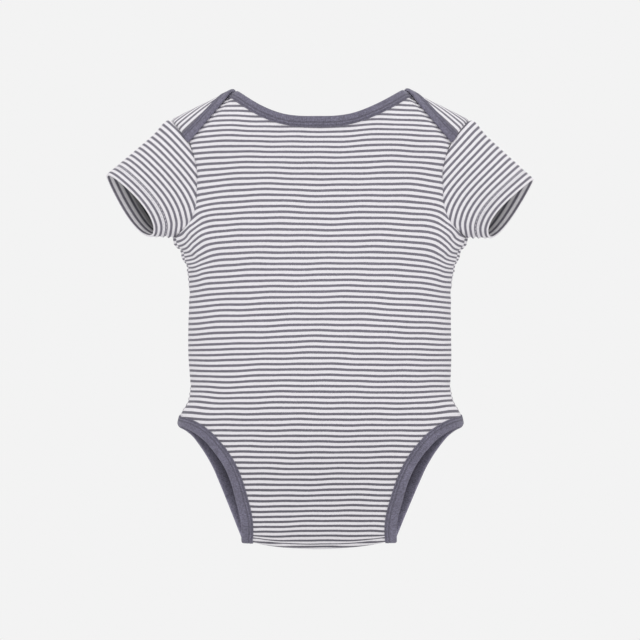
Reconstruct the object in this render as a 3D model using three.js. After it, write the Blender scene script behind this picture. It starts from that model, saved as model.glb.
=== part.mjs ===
import * as THREE from 'three';

// A baby onesie with short sleeves, lap shoulders and a snap crotch, filled out and hollow.
// Millimetres. X runs across, Z is up, the back faces -Y and the front faces +Y.
// The origin is midway between the neck corners, at the height of the shoulders.
// The wearer's left is at -X.

// Walls and gaps
const CLOTH = 1.0;
const GAP = 0.3;
const BINDING_RISE = GAP + CLOTH;
const FACET_SLACK = 0.4;
const LAP_DEPTH = CLOTH + BINDING_RISE + GAP + FACET_SLACK;
const CROSSING_DEPTH = BINDING_RISE + FACET_SLACK;
const FLAP_DEPTH = CLOTH + 2 * BINDING_RISE + GAP + FACET_SLACK;

// Shoulders: the ridge slants down from the neck and the cloth arches over it
const RIDGE_HEIGHT = 18.6;
const RIDGE_SLOPE = 0.515;
const RIDGE_ROUNDING = 30;
const ARCH_HEIGHT = 45;
const ARCH_RUN = 57;
const UNDERARM_RUN = 123;
const SIDE_FULLNESS = 0.25;

// Bindings
const NECK_BINDING = 6.4;
const BINDING_TURN = 1.6;

// Sleeves
const CUFF_ACROSS = 137.9;
const CUFF_DROP = 84.6;
const CUFF_HALF_LENGTH = 27.3;
const CUFF_HALF_DEPTH = 17;
const CUFF_SLANT = THREE.MathUtils.degToRad(36.3);
const CUFF_TURN = THREE.MathUtils.degToRad(21);
const HEM_WIDTH = 12;
const HEM_WALL = 2.2;

// Snaps
const SNAP_COUNT = 3;
const SNAP_SPACING = 32;
const SNAP_RUN = 321.5;
const SNAP_CAP_RADIUS = 4.8;
const SNAP_RING_RADIUS = 4.2;

// How finely the cloth is divided: columns in half a panel, and those before the neck corner
const HALF_COLUMNS = 12;
const NECK_COLUMNS = 7;

const PAINT = {
  cloth: { color: 0xb5b3bc, roughness: 0.9, metalness: 0 },
  binding: { color: 0x6c6a7a, roughness: 0.9, metalness: 0 },
  metal: { color: 0xc4c6ca, roughness: 0.35, metalness: 1 },
};

// The body at each height: half its width, and how far the back and the front stand out
const BODY = [
  { drop: 0, width: 108, back: 33, front: 33 },
  { drop: 45, width: 108, back: 33, front: 34 },
  { drop: 95, width: 107.6, back: 35, front: 38 },
  { drop: 111, width: 105.6, back: 36, front: 40 },
  { drop: 118, width: 101.8, back: 36.4, front: 41 },
  { drop: 126, width: 98.2, back: 36.7, front: 41.7 },
  { drop: 136, width: 96, back: 37, front: 42.4 },
  { drop: 152, width: 94.4, back: 37.3, front: 43.4 },
  { drop: 190, width: 94.8, back: 38, front: 46 },
  { drop: 212, width: 94, back: 38.4, front: 45.6 },
  { drop: 221, width: 94.6, back: 38.6, front: 45 },
  { drop: 228, width: 97.4, back: 38.8, front: 44.2 },
  { drop: 235, width: 100.8, back: 38.8, front: 43.2 },
  { drop: 242, width: 102.4, back: 38.4, front: 42 },
  { drop: 262, width: 103, back: 34.5, front: 37.5 },
  { drop: 290, width: 102.4, back: 24.5, front: 27 },
  { drop: 315, width: 102, back: 12.5, front: 14.8 },
  { drop: 330, width: 101, back: 5.2, front: 7.6 },
  { drop: 345, width: 100, back: 1, front: 2 },
];

// The cut edge of neck and lap on each panel: across, and over the ridge towards its far side
const BACK_TOP_EDGE = [
  { across: 0, over: -49.6 },
  { across: 23, over: -46.5 },
  { across: 36, over: -40.6 },
  { across: 48, over: -31.4 },
  { across: 57, over: -20.1 },
  { across: 61.8, over: -10 },
  { across: 63.6, over: 0 },
  { across: 66.5, over: 10 },
  { across: 71, over: 18.5 },
  { across: 78.8, over: 27.5 },
  { across: 95.2, over: 41.5 },
];
const FRONT_TOP_EDGE = [
  { across: 0, over: -67.5 },
  { across: 23, over: -63 },
  { across: 38, over: -54 },
  { across: 48.5, over: -43 },
  { across: 56.5, over: -29 },
  { across: 61, over: -15 },
  { across: 63.6, over: 0 },
  { across: 66.5, over: 10 },
  { across: 71, over: 18.5 },
  { across: 78.8, over: 27.5 },
  { across: 95.2, over: 41.5 },
];
const CORNER_ROW = 6;

// The armhole seam: its run from the ridge, and the turn round the body in degrees on each panel
const ARMHOLE = [
  { over: 0, back: 83.5, front: 83.5 },
  { over: 9, back: 80.8, front: 80.8 },
  { over: 18, back: 76.5, front: 76.5 },
  { over: 27, back: 70.5, front: 70.5 },
  { over: 34.3, back: 66.3, front: 66.3 },
  { over: 37.9, back: 64.2, front: 64.2 },
  { over: 41.5, back: 61.8, front: 61.8 },
  { over: 53, back: 57, front: 57 },
  { over: 65, back: 54.7, front: 54.7 },
  { over: 82, back: 54.8, front: 54.8 },
  { over: 98, back: 56.9, front: 57.5 },
  { over: 107, back: 61, front: 63.5 },
  { over: 114, back: 66.6, front: 72 },
  { over: 119, back: 73.3, front: 84 },
  { over: 123, back: 80, front: 100 },
];
const LAP_ROWS = 6;

// The side seam below the underarm: how many degrees it leans towards the back
const SIDE_SEAM = [
  { drop: 111, lean: 10 },
  { drop: 117, lean: 10 },
  { drop: 124, lean: 8.5 },
  { drop: 132, lean: 5 },
  { drop: 142, lean: 2 },
  { drop: 156, lean: 0.5 },
  { drop: 171, lean: 0 },
  { drop: 186, lean: 0 },
  { drop: 201, lean: 0 },
  { drop: 212, lean: 1 },
  { drop: 220, lean: 3 },
  { drop: 228, lean: 2.8 },
  { drop: 235.2, lean: 1.4 },
  { drop: 238.1, lean: 0.7 },
  { drop: 241, lean: 0 },
];
const HIP_ROWS = 2;

// The leg openings: the cut edge, the width of its binding and the middle of each row of cloth
const BACK_LEG = [
  { across: 101, drop: 241.9, band: 5.8, middle: 238 },
  { across: 96.2, drop: 243.4, band: 6.4, middle: 241.5 },
  { across: 90.4, drop: 246, band: 7, middle: 245.5 },
  { across: 82.7, drop: 251.2, band: 7.3, middle: 251.5 },
  { across: 75.8, drop: 258.4, band: 7.4, middle: 259.5 },
  { across: 67.8, drop: 269.4, band: 7.4, middle: 270.5 },
  { across: 62.7, drop: 280.3, band: 7.4, middle: 281.5 },
  { across: 58.5, drop: 294.7, band: 7.6, middle: 295.5 },
  { across: 55.1, drop: 309.3, band: 7.6, middle: 310.5 },
  { across: 54.2, drop: 318, band: 7.2, middle: 321.5 },
  { across: 54.1, drop: 323, band: 7, middle: 329.4 },
];
const FRONT_LEG = [
  { across: 101.4, drop: 242.2, band: 5.8, middle: 238 },
  { across: 97, drop: 244.2, band: 6.4, middle: 241.5 },
  { across: 91.5, drop: 247.8, band: 7, middle: 246 },
  { across: 85.6, drop: 256, band: 7.4, middle: 254.5 },
  { across: 76.4, drop: 271, band: 7.4, middle: 270 },
  { across: 71, drop: 283.5, band: 7.4, middle: 283 },
  { across: 65.4, drop: 297.2, band: 7.6, middle: 297 },
  { across: 60.2, drop: 311, band: 7.4, middle: 312 },
  { across: 55.8, drop: 324.4, band: 7.2, middle: 328.2 },
];

// The back's flap: where each row lies on the inside of the front
const FLAP = [
  { across: 54.1, drop: 322.6, band: 7, middle: 329.2 },
  { across: 54.6, drop: 315.5, band: 7, middle: 319.5 },
  { across: 55.6, drop: 308, band: 7.2, middle: 309.5 },
  { across: 56.8, drop: 300, band: 7.4, middle: 300 },
];
const FOLD_STEPS = 5;

const SLEEVE_STEPS = 5;

const radians = THREE.MathUtils.degToRad;
const ease = (t) => THREE.MathUtils.smoothstep(t, 0, 1);

// A smooth curve through one column of a table, which never swings past its rows
function curveThrough(rows, key, column) {
  const at = rows.map((row) => row[key]);
  const value = rows.map((row) => row[column]);
  const last = at.length - 1;
  const rise = at.map((_, i) => (i < last ? (value[i + 1] - value[i]) / (at[i + 1] - at[i]) : 0));
  const slope = value.map((_, i) => {
    if (i === 0) return rise[0];
    if (i === last) return rise[last - 1];
    const product = rise[i - 1] * rise[i];
    return product <= 0 ? 0 : (2 * product) / (rise[i - 1] + rise[i]);
  });
  return (where) => {
    let i = 0;
    while (i < last - 1 && where > at[i + 1]) i += 1;
    const span = at[i + 1] - at[i];
    const t = THREE.MathUtils.clamp((where - at[i]) / span, 0, 1);
    const far = t * t * (3 - 2 * t);
    const pull = span * t * (1 - t);
    return value[i] * (1 - far) + value[i + 1] * far + pull * ((1 - t) * slope[i] - t * slope[i + 1]);
  };
}

const widthAt = curveThrough(BODY, 'drop', 'width');
const backAt = curveThrough(BODY, 'drop', 'back');
const frontAt = curveThrough(BODY, 'drop', 'front');
const lapEdgeAt = curveThrough(BACK_TOP_EDGE.slice(CORNER_ROW), 'over', 'across');

// The body's surface. turn goes round from the middle of the back or front, in radians.
// over is the way from the shoulder ridge, less than 0 down the back and more down the front.
function bodyPoint(turn, over) {
  const run = Math.abs(over);
  const arch = Math.min(run / ARCH_RUN, 1) * Math.PI / 2;
  const fall = ARCH_HEIGHT * (1 - Math.cos(arch)) + Math.max(run - ARCH_RUN, 0);
  const hold = Math.cos(Math.min(run / UNDERARM_RUN, 1) * Math.PI / 2) ** 2;
  let z = -fall;
  let x = 0;
  for (let pass = 0; pass < 4; pass += 1) {
    x = widthAt(-z) * Math.sin(turn);
    const reach = Math.hypot(x, RIDGE_ROUNDING) - RIDGE_ROUNDING;
    z = (RIDGE_HEIGHT - RIDGE_SLOPE * reach) * hold - fall;
  }
  const facing = over < 0 ? -1 : 1;
  const round = facing * Math.cos(turn) * (1 + SIDE_FULLNESS * Math.sin(turn) ** 2);
  const depth = round < 0 ? backAt(-z) : frontAt(-z);
  return new THREE.Vector3(x, depth * round * Math.sin(arch), z);
}

function bodySlopes(turn, over) {
  const step = 0.002;
  const reach = 0.2;
  const round = bodyPoint(turn + step, over).sub(bodyPoint(turn - step, over)).divideScalar(2 * step);
  const along = bodyPoint(turn, over + reach).sub(bodyPoint(turn, over - reach)).divideScalar(2 * reach);
  return { round, along };
}

function liftedPoint(turn, over, lift) {
  const { round, along } = bodySlopes(turn, over);
  const outward = round.cross(along).normalize();
  return bodyPoint(turn, over).addScaledVector(outward, lift);
}

// The place reached by walking on the surface from a place, a distance in a direction
function walk(place, direction, distance) {
  const steps = 4;
  let { turn, over } = place;
  for (let i = 0; i < steps; i += 1) {
    const { round, along } = bodySlopes(turn, over);
    const a = round.dot(round);
    const b = round.dot(along);
    const c = along.dot(along);
    const p = direction.dot(round);
    const q = direction.dot(along);
    const spread = a * c - b * b;
    const turnBy = (p * c - q * b) / spread;
    const overBy = (q * a - p * b) / spread;
    const moved = round.multiplyScalar(turnBy).addScaledVector(along, overBy).length();
    turn += (turnBy * distance) / steps / moved;
    over += (overBy * distance) / steps / moved;
  }
  return { turn, over };
}

const turnAt = (across, drop) => Math.asin(Math.min(across / widthAt(drop), 1));
const runAt = (drop) => drop - ARCH_HEIGHT + ARCH_RUN;
const mirrored = (place) => ({ turn: -place.turn, over: place.over });
const mixed = (a, b, t) => ({
  turn: THREE.MathUtils.lerp(a.turn, b.turn, t),
  over: THREE.MathUtils.lerp(a.over, b.over, t),
});

// The back's lap lies under the front's, and deeper where the two bindings cross at the neck
function backLift(turn, over) {
  const across = Math.abs(bodyPoint(turn, over).x);
  const lapEdge = over < 0 ? lapEdgeAt(-over) + Math.max(-over - 41.5, 0) : 0;
  const under = ease((across - lapEdge + 26) / 22);
  const crossing = (1 - ease((Math.abs(over) - 17) / 10)) * (1 - ease((across - 75) / 10));
  return -LAP_DEPTH * under - CROSSING_DEPTH * crossing * under;
}

// The places of half a panel's top edge, from the middle of the neck to the end of the lap
function topEdgePlaces(edge, side) {
  const points = edge.map((row) => new THREE.Vector3(row.across, row.over, 0));
  const neck = new THREE.CatmullRomCurve3(points.slice(0, CORNER_ROW + 1), false, 'centripetal');
  const lap = new THREE.CatmullRomCurve3(points.slice(CORNER_ROW), false, 'centripetal');
  const places = [];
  for (let i = 0; i <= HALF_COLUMNS; i += 1) {
    const point = i < NECK_COLUMNS
      ? neck.getPointAt(i / NECK_COLUMNS)
      : lap.getPointAt((i - NECK_COLUMNS) / (HALF_COLUMNS - NECK_COLUMNS));
    const drop = -bodyPoint(0.9, point.y).z;
    places.push({ turn: turnAt(point.x, drop), over: -side * point.y });
  }
  places[HALF_COLUMNS] = { turn: radians(ARMHOLE[LAP_ROWS].back), over: -side * ARMHOLE[LAP_ROWS].over };
  return places;
}

// side is -1 for the back panel and 1 for the front panel.
// The seam's places, from the end of the lap over the ridge and down to the underarm
function armholePlaces(side) {
  const column = side < 0 ? 'back' : 'front';
  const lap = ARMHOLE.slice(1, LAP_ROWS + 1).reverse();
  const far = lap.map((row) => ({ turn: radians(row[column]), over: -side * row.over }));
  const near = ARMHOLE.map((row) => ({ turn: radians(row[column]), over: side * row.over }));
  near[near.length - 1] = seamPlace(SIDE_SEAM[0], side);
  return [...far, ...near];
}

// Each row is half a panel, from its middle outwards
function topRows(side) {
  const edge = topEdgePlaces(side < 0 ? BACK_TOP_EDGE : FRONT_TOP_EDGE, side);
  const seam = armholePlaces(side);
  const towardsHem = (i) => {
    const before = edge[Math.max(i - 1, 0)];
    const after = edge[Math.min(i + 1, HALF_COLUMNS)];
    const start = i === 0 ? mirrored(edge[1]) : before;
    const along = bodyPoint(after.turn, after.over).sub(bodyPoint(start.turn, start.over));
    const { round, along: down } = bodySlopes(edge[i].turn, edge[i].over);
    return round.cross(down).cross(along).normalize().multiplyScalar(side);
  };
  const bound = [0, NECK_BINDING / 2, NECK_BINDING].map((distance, row) => edge.map((place, i) => {
    if (i === HALF_COLUMNS) return seam[row];
    return distance ? walk(place, towardsHem(i), distance) : place;
  }));
  const underarm = seam[seam.length - 1];
  const first = seam[2].over;
  const rows = [...bound];
  for (let r = 3; r < seam.length; r += 1) {
    const t = (seam[r].over - first) / (underarm.over - first);
    const straight = THREE.MathUtils.lerp(seam[2].turn, underarm.turn, t);
    rows.push(bound[2].map((place, i) => {
      const share = i / HALF_COLUMNS;
      const level = { turn: underarm.turn * share, over: underarm.over };
      const cell = mixed(place, level, t);
      cell.turn += (seam[r].turn - straight) * share ** 3;
      return cell;
    }));
  }
  return rows;
}

// A panel's side edge at a row of the side seam, half a gap short of the seam itself
function seamPlace(row, side) {
  const place = { turn: radians(90 + side * row.lean), over: side * runAt(row.drop) };
  place.turn -= GAP / 2 / bodySlopes(place.turn, place.over).round.length();
  return place;
}

// Rows from the underarm to the hip, one for each row of the side seam but the hip's last
function sideRows(side) {
  return SIDE_SEAM.slice(1, -HIP_ROWS).map((row) => {
    const end = seamPlace(row, side);
    return Array.from({ length: HALF_COLUMNS + 1 }, (_, i) => ({
      turn: (end.turn * i) / HALF_COLUMNS,
      over: end.over,
    }));
  });
}

// The band of cloth that a leg's binding takes: its inner edge, its middle and the cut edge.
// heading is 1 for places that go down the front or up the back, and -1 for the other way.
function legBand(places, widths, heading) {
  return places.map((place, i) => {
    const before = places[Math.max(i - 1, 0)];
    const after = places[Math.min(i + 1, places.length - 1)];
    const along = bodyPoint(after.turn, after.over).sub(bodyPoint(before.turn, before.over));
    const { round, along: down } = bodySlopes(place.turn, place.over);
    const inward = round.cross(down).cross(along).normalize().multiplyScalar(heading);
    return [walk(place, inward, widths[i]), walk(place, inward, widths[i] / 2), place];
  });
}

// Rows with a leg's edge at each end. Each ends in the band's three places, two more than the
// rows above the hip have. The tip of the hip, where there is one, only steers the first band.
function legRows(rows, side, heading, tip = []) {
  const edge = rows.map((row) => ({ turn: turnAt(row.across, row.drop), over: side * runAt(row.drop) }));
  const widths = [...tip.map(() => rows[0].band), ...rows.map((row) => row.band)];
  const bands = legBand([...tip, ...edge], widths, heading).slice(tip.length);
  return rows.map((row, r) => {
    const end = bands[r][0];
    const inner = Array.from({ length: HALF_COLUMNS }, (_, i) => {
      const share = i / HALF_COLUMNS;
      const bend = 1 - share ** 2;
      return {
        turn: end.turn * share,
        over: THREE.MathUtils.lerp(end.over, side * runAt(row.middle), bend),
      };
    });
    return [...inner, ...bands[r]];
  });
}

// The row where the side seam's last rows become the band's first
function hipRow(row, side) {
  return [...row, ...SIDE_SEAM.slice(-HIP_ROWS).map((end) => seamPlace(end, side))];
}

// A whole row of points from half a row of places
function wholeRow(half, place) {
  const right = half.map((cell) => place(cell.turn, cell.over));
  const left = half.slice(1).map((cell) => place(-cell.turn, cell.over)).reverse();
  return [...left, ...right];
}

function panelPoints(side, rows) {
  const place = (turn, over) => (side < 0
    ? liftedPoint(turn, over, backLift(turn, over))
    : bodyPoint(turn, over));
  return rows.map((half) => wholeRow(half, place));
}

// Fills the shorter rows with empty places, so that the grid has one width
function padded(grid) {
  const width = Math.max(...grid.map((row) => row.length));
  return grid.map((row) => {
    const pad = Array.from({ length: (width - row.length) / 2 }, () => null);
    return [...pad, ...row, ...pad];
  });
}

// A sheet is a list of points and of four-cornered faces, with the points' places in the grid
function sheetFrom(grid, outwardAtFirst, closed = false) {
  const points = [];
  const index = grid.map((row) => row.map((point) => {
    if (!point) return -1;
    points.push(point);
    return points.length - 1;
  }));
  const faces = [];
  const rowCount = closed ? index.length : index.length - 1;
  for (let r = 0; r < rowCount; r += 1) {
    const here = index[r];
    const next = index[(r + 1) % index.length];
    for (let c = 0; c + 1 < here.length; c += 1) {
      const corners = [here[c], next[c], next[c + 1], here[c + 1]];
      if (corners.every((corner) => corner >= 0)) faces.push(corners);
    }
  }
  const sheet = { points, index, faces };
  if (normalsOf(sheet)[faces[0][0]].dot(outwardAtFirst) < 0) faces.forEach((face) => face.reverse());
  sheet.normals = normalsOf(sheet);
  return sheet;
}

function normalsOf({ points, faces }) {
  const normals = points.map(() => new THREE.Vector3());
  faces.forEach(([a, b, c, d]) => {
    const across = points[c].clone().sub(points[a]);
    const face = across.cross(points[d].clone().sub(points[b]));
    [a, b, c, d].forEach((corner) => normals[corner].add(face));
  });
  return normals.map((normal) => normal.normalize());
}

// A closed wall from a sheet: its points outside, and each moved inwards by its own way inside.
// Each face is split along its shorter diagonal, so that a piece made from another's points
// is split as that one is.
function wallFrom(sheet, inwardOf) {
  const count = sheet.points.length;
  const apart = (i, j) => sheet.points[i].distanceTo(sheet.points[j]);
  const inner = sheet.points.map((point, i) => point.clone().add(inwardOf(i)));
  const triangles = [];
  const edges = new Map();
  sheet.faces.forEach((face) => {
    const turned = [...face.slice(1), face[0]];
    const [a, b, c, d] = apart(face[0], face[2]) < apart(face[1], face[3]) ? face : turned;
    triangles.push(a, b, c, a, c, d);
    triangles.push(a + count, c + count, b + count, a + count, d + count, c + count);
    face.forEach((from, i) => edges.set(`${from},${face[(i + 1) % 4]}`, [from, face[(i + 1) % 4]]));
  });
  edges.forEach(([from, to]) => {
    if (edges.has(`${to},${from}`)) return;
    triangles.push(to, from, from + count, to, from + count, to + count);
  });
  const geometry = new THREE.BufferGeometry().setFromPoints([...sheet.points, ...inner]);
  geometry.setIndex(triangles);
  geometry.computeVertexNormals();
  return geometry;
}

const evenWall = (sheet, wall) => wallFrom(sheet, (i) => sheet.normals[i].clone().multiplyScalar(-wall));

// A rounded fold from one row of points to another, leaving and arriving in the given directions
function foldRows(from, before, to, after) {
  const rows = [];
  for (let step = 1; step < FOLD_STEPS; step += 1) {
    const t = step / FOLD_STEPS;
    rows.push(from.map((start, i) => {
      const end = to[i];
      const handle = start.distanceTo(end) * 0.5;
      const leave = start.clone().sub(before[i]).normalize();
      const arrive = end.clone().sub(after[i]).normalize();
      const first = start.clone().addScaledVector(leave, handle);
      const second = end.clone().addScaledVector(arrive, handle);
      const bend = new THREE.CubicBezierCurve3(start, first, second, end);
      return bend.getPoint(t);
    }));
  }
  return rows;
}

function backPanelGrid() {
  const upper = [...topRows(-1), ...sideRows(-1)];
  const hip = hipRow(upper.pop(), -1);
  const grid = panelPoints(-1, [...upper, hip, ...legRows(BACK_LEG, -1, -1, hip.slice(-1))]);
  const flapPlaces = legRows(FLAP, 1, -1);
  const flap = flapPlaces.map((half) => wholeRow(half, (turn, over) => liftedPoint(turn, over, -FLAP_DEPTH)));
  const last = grid.length - 1;
  const fold = foldRows(grid[last], grid[last - 1], flap[0], flap[1]);
  return { grid: [...grid, ...fold, ...flap], hipRowIndex: upper.length };
}

function frontPanelGrid() {
  const upper = [...topRows(1), ...sideRows(1)];
  const hip = hipRow(upper.pop(), 1);
  const grid = panelPoints(1, [...upper, hip, ...legRows(FRONT_LEG, 1, 1, hip.slice(-1))]);
  return { grid, hipRowIndex: upper.length };
}

const UNDERARM_ROW = ARMHOLE.length + LAP_ROWS - 1;

function panelSheet({ grid, hipRowIndex }, outward) {
  const sheet = sheetFrom(padded(grid), outward);
  sheet.hipRowIndex = hipRowIndex;
  return sheet;
}

// Both panels' edges at a side seam are cut square to the surface, so that their gap stays even
function squareSideSeams(back, front) {
  const shared = (sheet, row, step) => {
    const column = step < 0 ? HIP_ROWS + step + 1 : sheet.index[0].length - 1 - HIP_ROWS + step - 1;
    return sheet.normals[sheet.index[row][column]];
  };
  const pairUp = (row, step) => {
    const behind = shared(back, row, step);
    const before = shared(front, row, step);
    behind.add(before).normalize();
    before.copy(behind);
  };
  for (let row = UNDERARM_ROW; row <= back.hipRowIndex; row += 1) [-1, 1].forEach((step) => pairUp(row, step));
  for (let step = 2; step <= HIP_ROWS + 1; step += 1) [-step, step].forEach((way) => pairUp(back.hipRowIndex, way));
}

// A binding is folded over an edge: outside the cloth, round the edge and inside it again
function foldedOver(stations) {
  return stations.map(({ points, normals }) => {
    const [inner, middle, edge] = points;
    const [innerUp, middleUp, edgeUp] = normals;
    const out = edge.clone().sub(middle).normalize();
    const over = (point, up, height) => point.clone().addScaledVector(up, height);
    const tip = edge.clone().addScaledVector(out, BINDING_TURN);
    const under = -CLOTH - BINDING_RISE;
    return [
      over(inner, innerUp, BINDING_RISE),
      over(middle, middleUp, BINDING_RISE),
      over(edge, edgeUp, BINDING_RISE),
      over(tip, edgeUp, BINDING_RISE * 0.2),
      over(tip, edgeUp, -CLOTH - BINDING_RISE * 0.2),
      over(edge, edgeUp, under),
      over(middle, middleUp, under),
      over(inner, innerUp, under),
    ];
  });
}

function bindingWall(stations) {
  const grid = foldedOver(stations);
  const sheet = sheetFrom(grid, stations[0].normals[0]);
  return evenWall(sheet, CLOTH);
}

function stationOn(sheet, indices) {
  return {
    points: indices.map((i) => sheet.points[i]),
    normals: indices.map((i) => sheet.normals[i]),
  };
}

function meanStation(a, b) {
  return {
    points: a.points.map((point, i) => point.clone().add(b.points[i]).multiplyScalar(0.5)),
    normals: a.normals.map((normal, i) => normal.clone().add(b.normals[i]).normalize()),
  };
}

function neckBinding(sheet) {
  const width = sheet.index[0].length;
  const stations = [];
  for (let c = 0; c < width; c += 1) {
    if (sheet.index[0][c] < 0) continue;
    stations.push(stationOn(sheet, [2, 1, 0].map((row) => sheet.index[row][c])));
  }
  return bindingWall(stations);
}

// The stations of a leg's edge from the hip down. end is the edge's column in the grid.
function legStations(sheet, end) {
  const inward = end === 0 ? 1 : -1;
  return sheet.index.slice(sheet.hipRowIndex).map((row) => {
    const columns = [end + 2 * inward, end + inward, end];
    return stationOn(sheet, columns.map((c) => row[c]));
  });
}

function legBinding(back, front, side) {
  const end = side < 0 ? 0 : back.index[0].length - 1;
  const behind = legStations(back, end);
  const before = legStations(front, end);
  const hip = meanStation(behind[0], before[0]);
  return bindingWall([...behind.slice(1).reverse(), hip, ...before.slice(1)]);
}

// The armhole's points, from the underarm up the back, over the ridge and down the front.
// Up to the end of the front's lap they are on the back panel, and then on the front panel.
function armholeRing(back, front, side) {
  const column = side < 0 ? HIP_ROWS : back.index[0].length - 1 - HIP_ROWS;
  const at = (sheet, row) => ({ sheet, i: sheet.index[row][column] });
  const ring = [];
  for (let row = UNDERARM_ROW; row > 2 * LAP_ROWS; row -= 1) ring.push(at(back, row));
  for (let row = 0; row < UNDERARM_ROW; row += 1) ring.push(at(front, row));
  return ring;
}

// The cuff's opening is an oval whose near side, at the back, is set back towards the body
function cuffPoint(side, angle) {
  const up = new THREE.Vector3(side * Math.sin(CUFF_SLANT), 0, Math.cos(CUFF_SLANT));
  const out = new THREE.Vector3(side * Math.cos(CUFF_SLANT), 0, -Math.sin(CUFF_SLANT));
  const front = new THREE.Vector3(0, Math.cos(CUFF_TURN), 0).addScaledVector(out, Math.sin(CUFF_TURN));
  return new THREE.Vector3(side * CUFF_ACROSS, 0, -CUFF_DROP)
    .addScaledVector(up, CUFF_HALF_LENGTH * Math.cos(angle))
    .addScaledVector(front, CUFF_HALF_DEPTH * Math.sin(angle));
}

// The angle round the cuff of each armhole point: half a turn down each side of the ridge
function cuffAngles(points, ridge) {
  const run = [0];
  for (let i = 1; i <= points.length; i += 1) {
    run.push(run[i - 1] + points[i % points.length].distanceTo(points[i - 1]));
  }
  const whole = run[points.length];
  return points.map((_, i) => {
    if (i <= ridge) return -Math.PI * (1 - run[i] / run[ridge]);
    return (Math.PI * (run[i] - run[ridge])) / (whole - run[ridge]);
  });
}

function sleeveWall(back, front, side) {
  const ring = armholeRing(back, front, side);
  const seam = ring.map(({ sheet, i }) => sheet.points[i].clone());
  const ridge = ring.length - ARMHOLE.length + 1;
  const angles = cuffAngles(seam, ridge);
  const grid = seam.map((start, i) => {
    const cuff = cuffPoint(side, angles[i]);
    const out = cuff.clone().sub(start).normalize();
    const root = start.clone().addScaledVector(out, GAP);
    const hem = cuff.clone().addScaledVector(out, -HEM_WIDTH);
    const column = [];
    for (let s = 0; s <= SLEEVE_STEPS; s += 1) column.push(root.clone().lerp(hem, s / SLEEVE_STEPS));
    column.push(hem.clone().addScaledVector(out, 0.8), cuff);
    return column;
  });
  const sheet = sheetFrom(grid, new THREE.Vector3(0, 0, -1), true);
  const hemStart = SLEEVE_STEPS + 1;
  return wallFrom(sheet, (i) => {
    const step = i % grid[0].length;
    const normal = sheet.normals[i].clone();
    if (step === 0) return mitre(normal, ring[Math.floor(i / grid[0].length)]);
    return normal.multiplyScalar(step >= hemStart ? -HEM_WALL : -CLOTH);
  });
}

// Where two walls meet at an angle, both are cut along the line between them
function mitre(normal, { sheet, i }) {
  const other = sheet.normals[i];
  const share = 1 + Math.max(normal.dot(other), -0.2);
  return normal.clone().add(other).multiplyScalar(-CLOTH / share);
}

function snapFrame(number, lift) {
  const across = (number - (SNAP_COUNT - 1) / 2) * SNAP_SPACING;
  const drop = SNAP_RUN + ARCH_HEIGHT - ARCH_RUN;
  const turn = Math.sign(across) * turnAt(Math.abs(across), drop);
  const { round, along } = bodySlopes(turn, SNAP_RUN);
  const outward = round.cross(along).normalize();
  return {
    position: liftedPoint(turn, SNAP_RUN, lift),
    quaternion: new THREE.Quaternion().setFromUnitVectors(new THREE.Vector3(0, 1, 0), outward),
  };
}

function snapCap() {
  const r = SNAP_CAP_RADIUS;
  const profile = [[0, 0], [r, 0], [r, 0.5], [r * 0.86, 1.2], [r * 0.5, 1.55], [0, 1.65]];
  return new THREE.LatheGeometry(profile.map(([x, y]) => new THREE.Vector2(x, y)), 20);
}

function snapCore() {
  const r = SNAP_RING_RADIUS;
  const height = FLAP_DEPTH - CLOTH - 2 * GAP;
  const profile = [[0, 0], [r, 0], [r, height * 0.4], [r * 0.7, height * 0.5], [r * 0.7, height], [0, height]];
  return new THREE.LatheGeometry(profile.map(([x, y]) => new THREE.Vector2(x, y)), 16);
}

function snapRing() {
  const r = SNAP_RING_RADIUS;
  const profile = [[r * 0.55, 0], [r, 0.2], [r, 1], [r * 0.55, 1], [r * 0.55, 0]];
  return new THREE.LatheGeometry(profile.map(([x, y]) => new THREE.Vector2(x, y)), 20);
}

function named(name, geometry, paint) {
  const mesh = new THREE.Mesh(geometry, new THREE.MeshStandardMaterial(paint));
  mesh.name = name;
  return mesh;
}

const onesie = new THREE.Group();
const back = panelSheet(backPanelGrid(), new THREE.Vector3(0, 0, 1));
const front = panelSheet(frontPanelGrid(), new THREE.Vector3(0, 0, 1));
squareSideSeams(back, front);

onesie.add(named('back_panel', evenWall(back, CLOTH), PAINT.cloth));
onesie.add(named('front_panel', evenWall(front, CLOTH), PAINT.cloth));
onesie.add(named('neck_binding_back', neckBinding(back), PAINT.binding));
onesie.add(named('neck_binding_front', neckBinding(front), PAINT.binding));
[['left', -1], ['right', 1]].forEach(([word, side]) => {
  onesie.add(named(`sleeve_${word}`, sleeveWall(back, front, side), PAINT.cloth));
  onesie.add(named(`leg_binding_${word}`, legBinding(back, front, side), PAINT.binding));
});

for (let i = 0; i < SNAP_COUNT; i += 1) {
  const pieces = [
    ['snap_cap', snapCap(), GAP],
    ['snap_core', snapCore(), -FLAP_DEPTH + GAP],
    ['snap_ring', snapRing(), -FLAP_DEPTH - CLOTH - GAP - 1],
  ];
  pieces.forEach(([word, geometry, lift]) => {
    const mesh = named(`${word}_${i + 1}`, geometry, PAINT.metal);
    const { position, quaternion } = snapFrame(i, lift);
    mesh.position.copy(position);
    mesh.quaternion.copy(quaternion);
    onesie.add(mesh);
  });
}

export default onesie;
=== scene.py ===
import math

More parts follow.
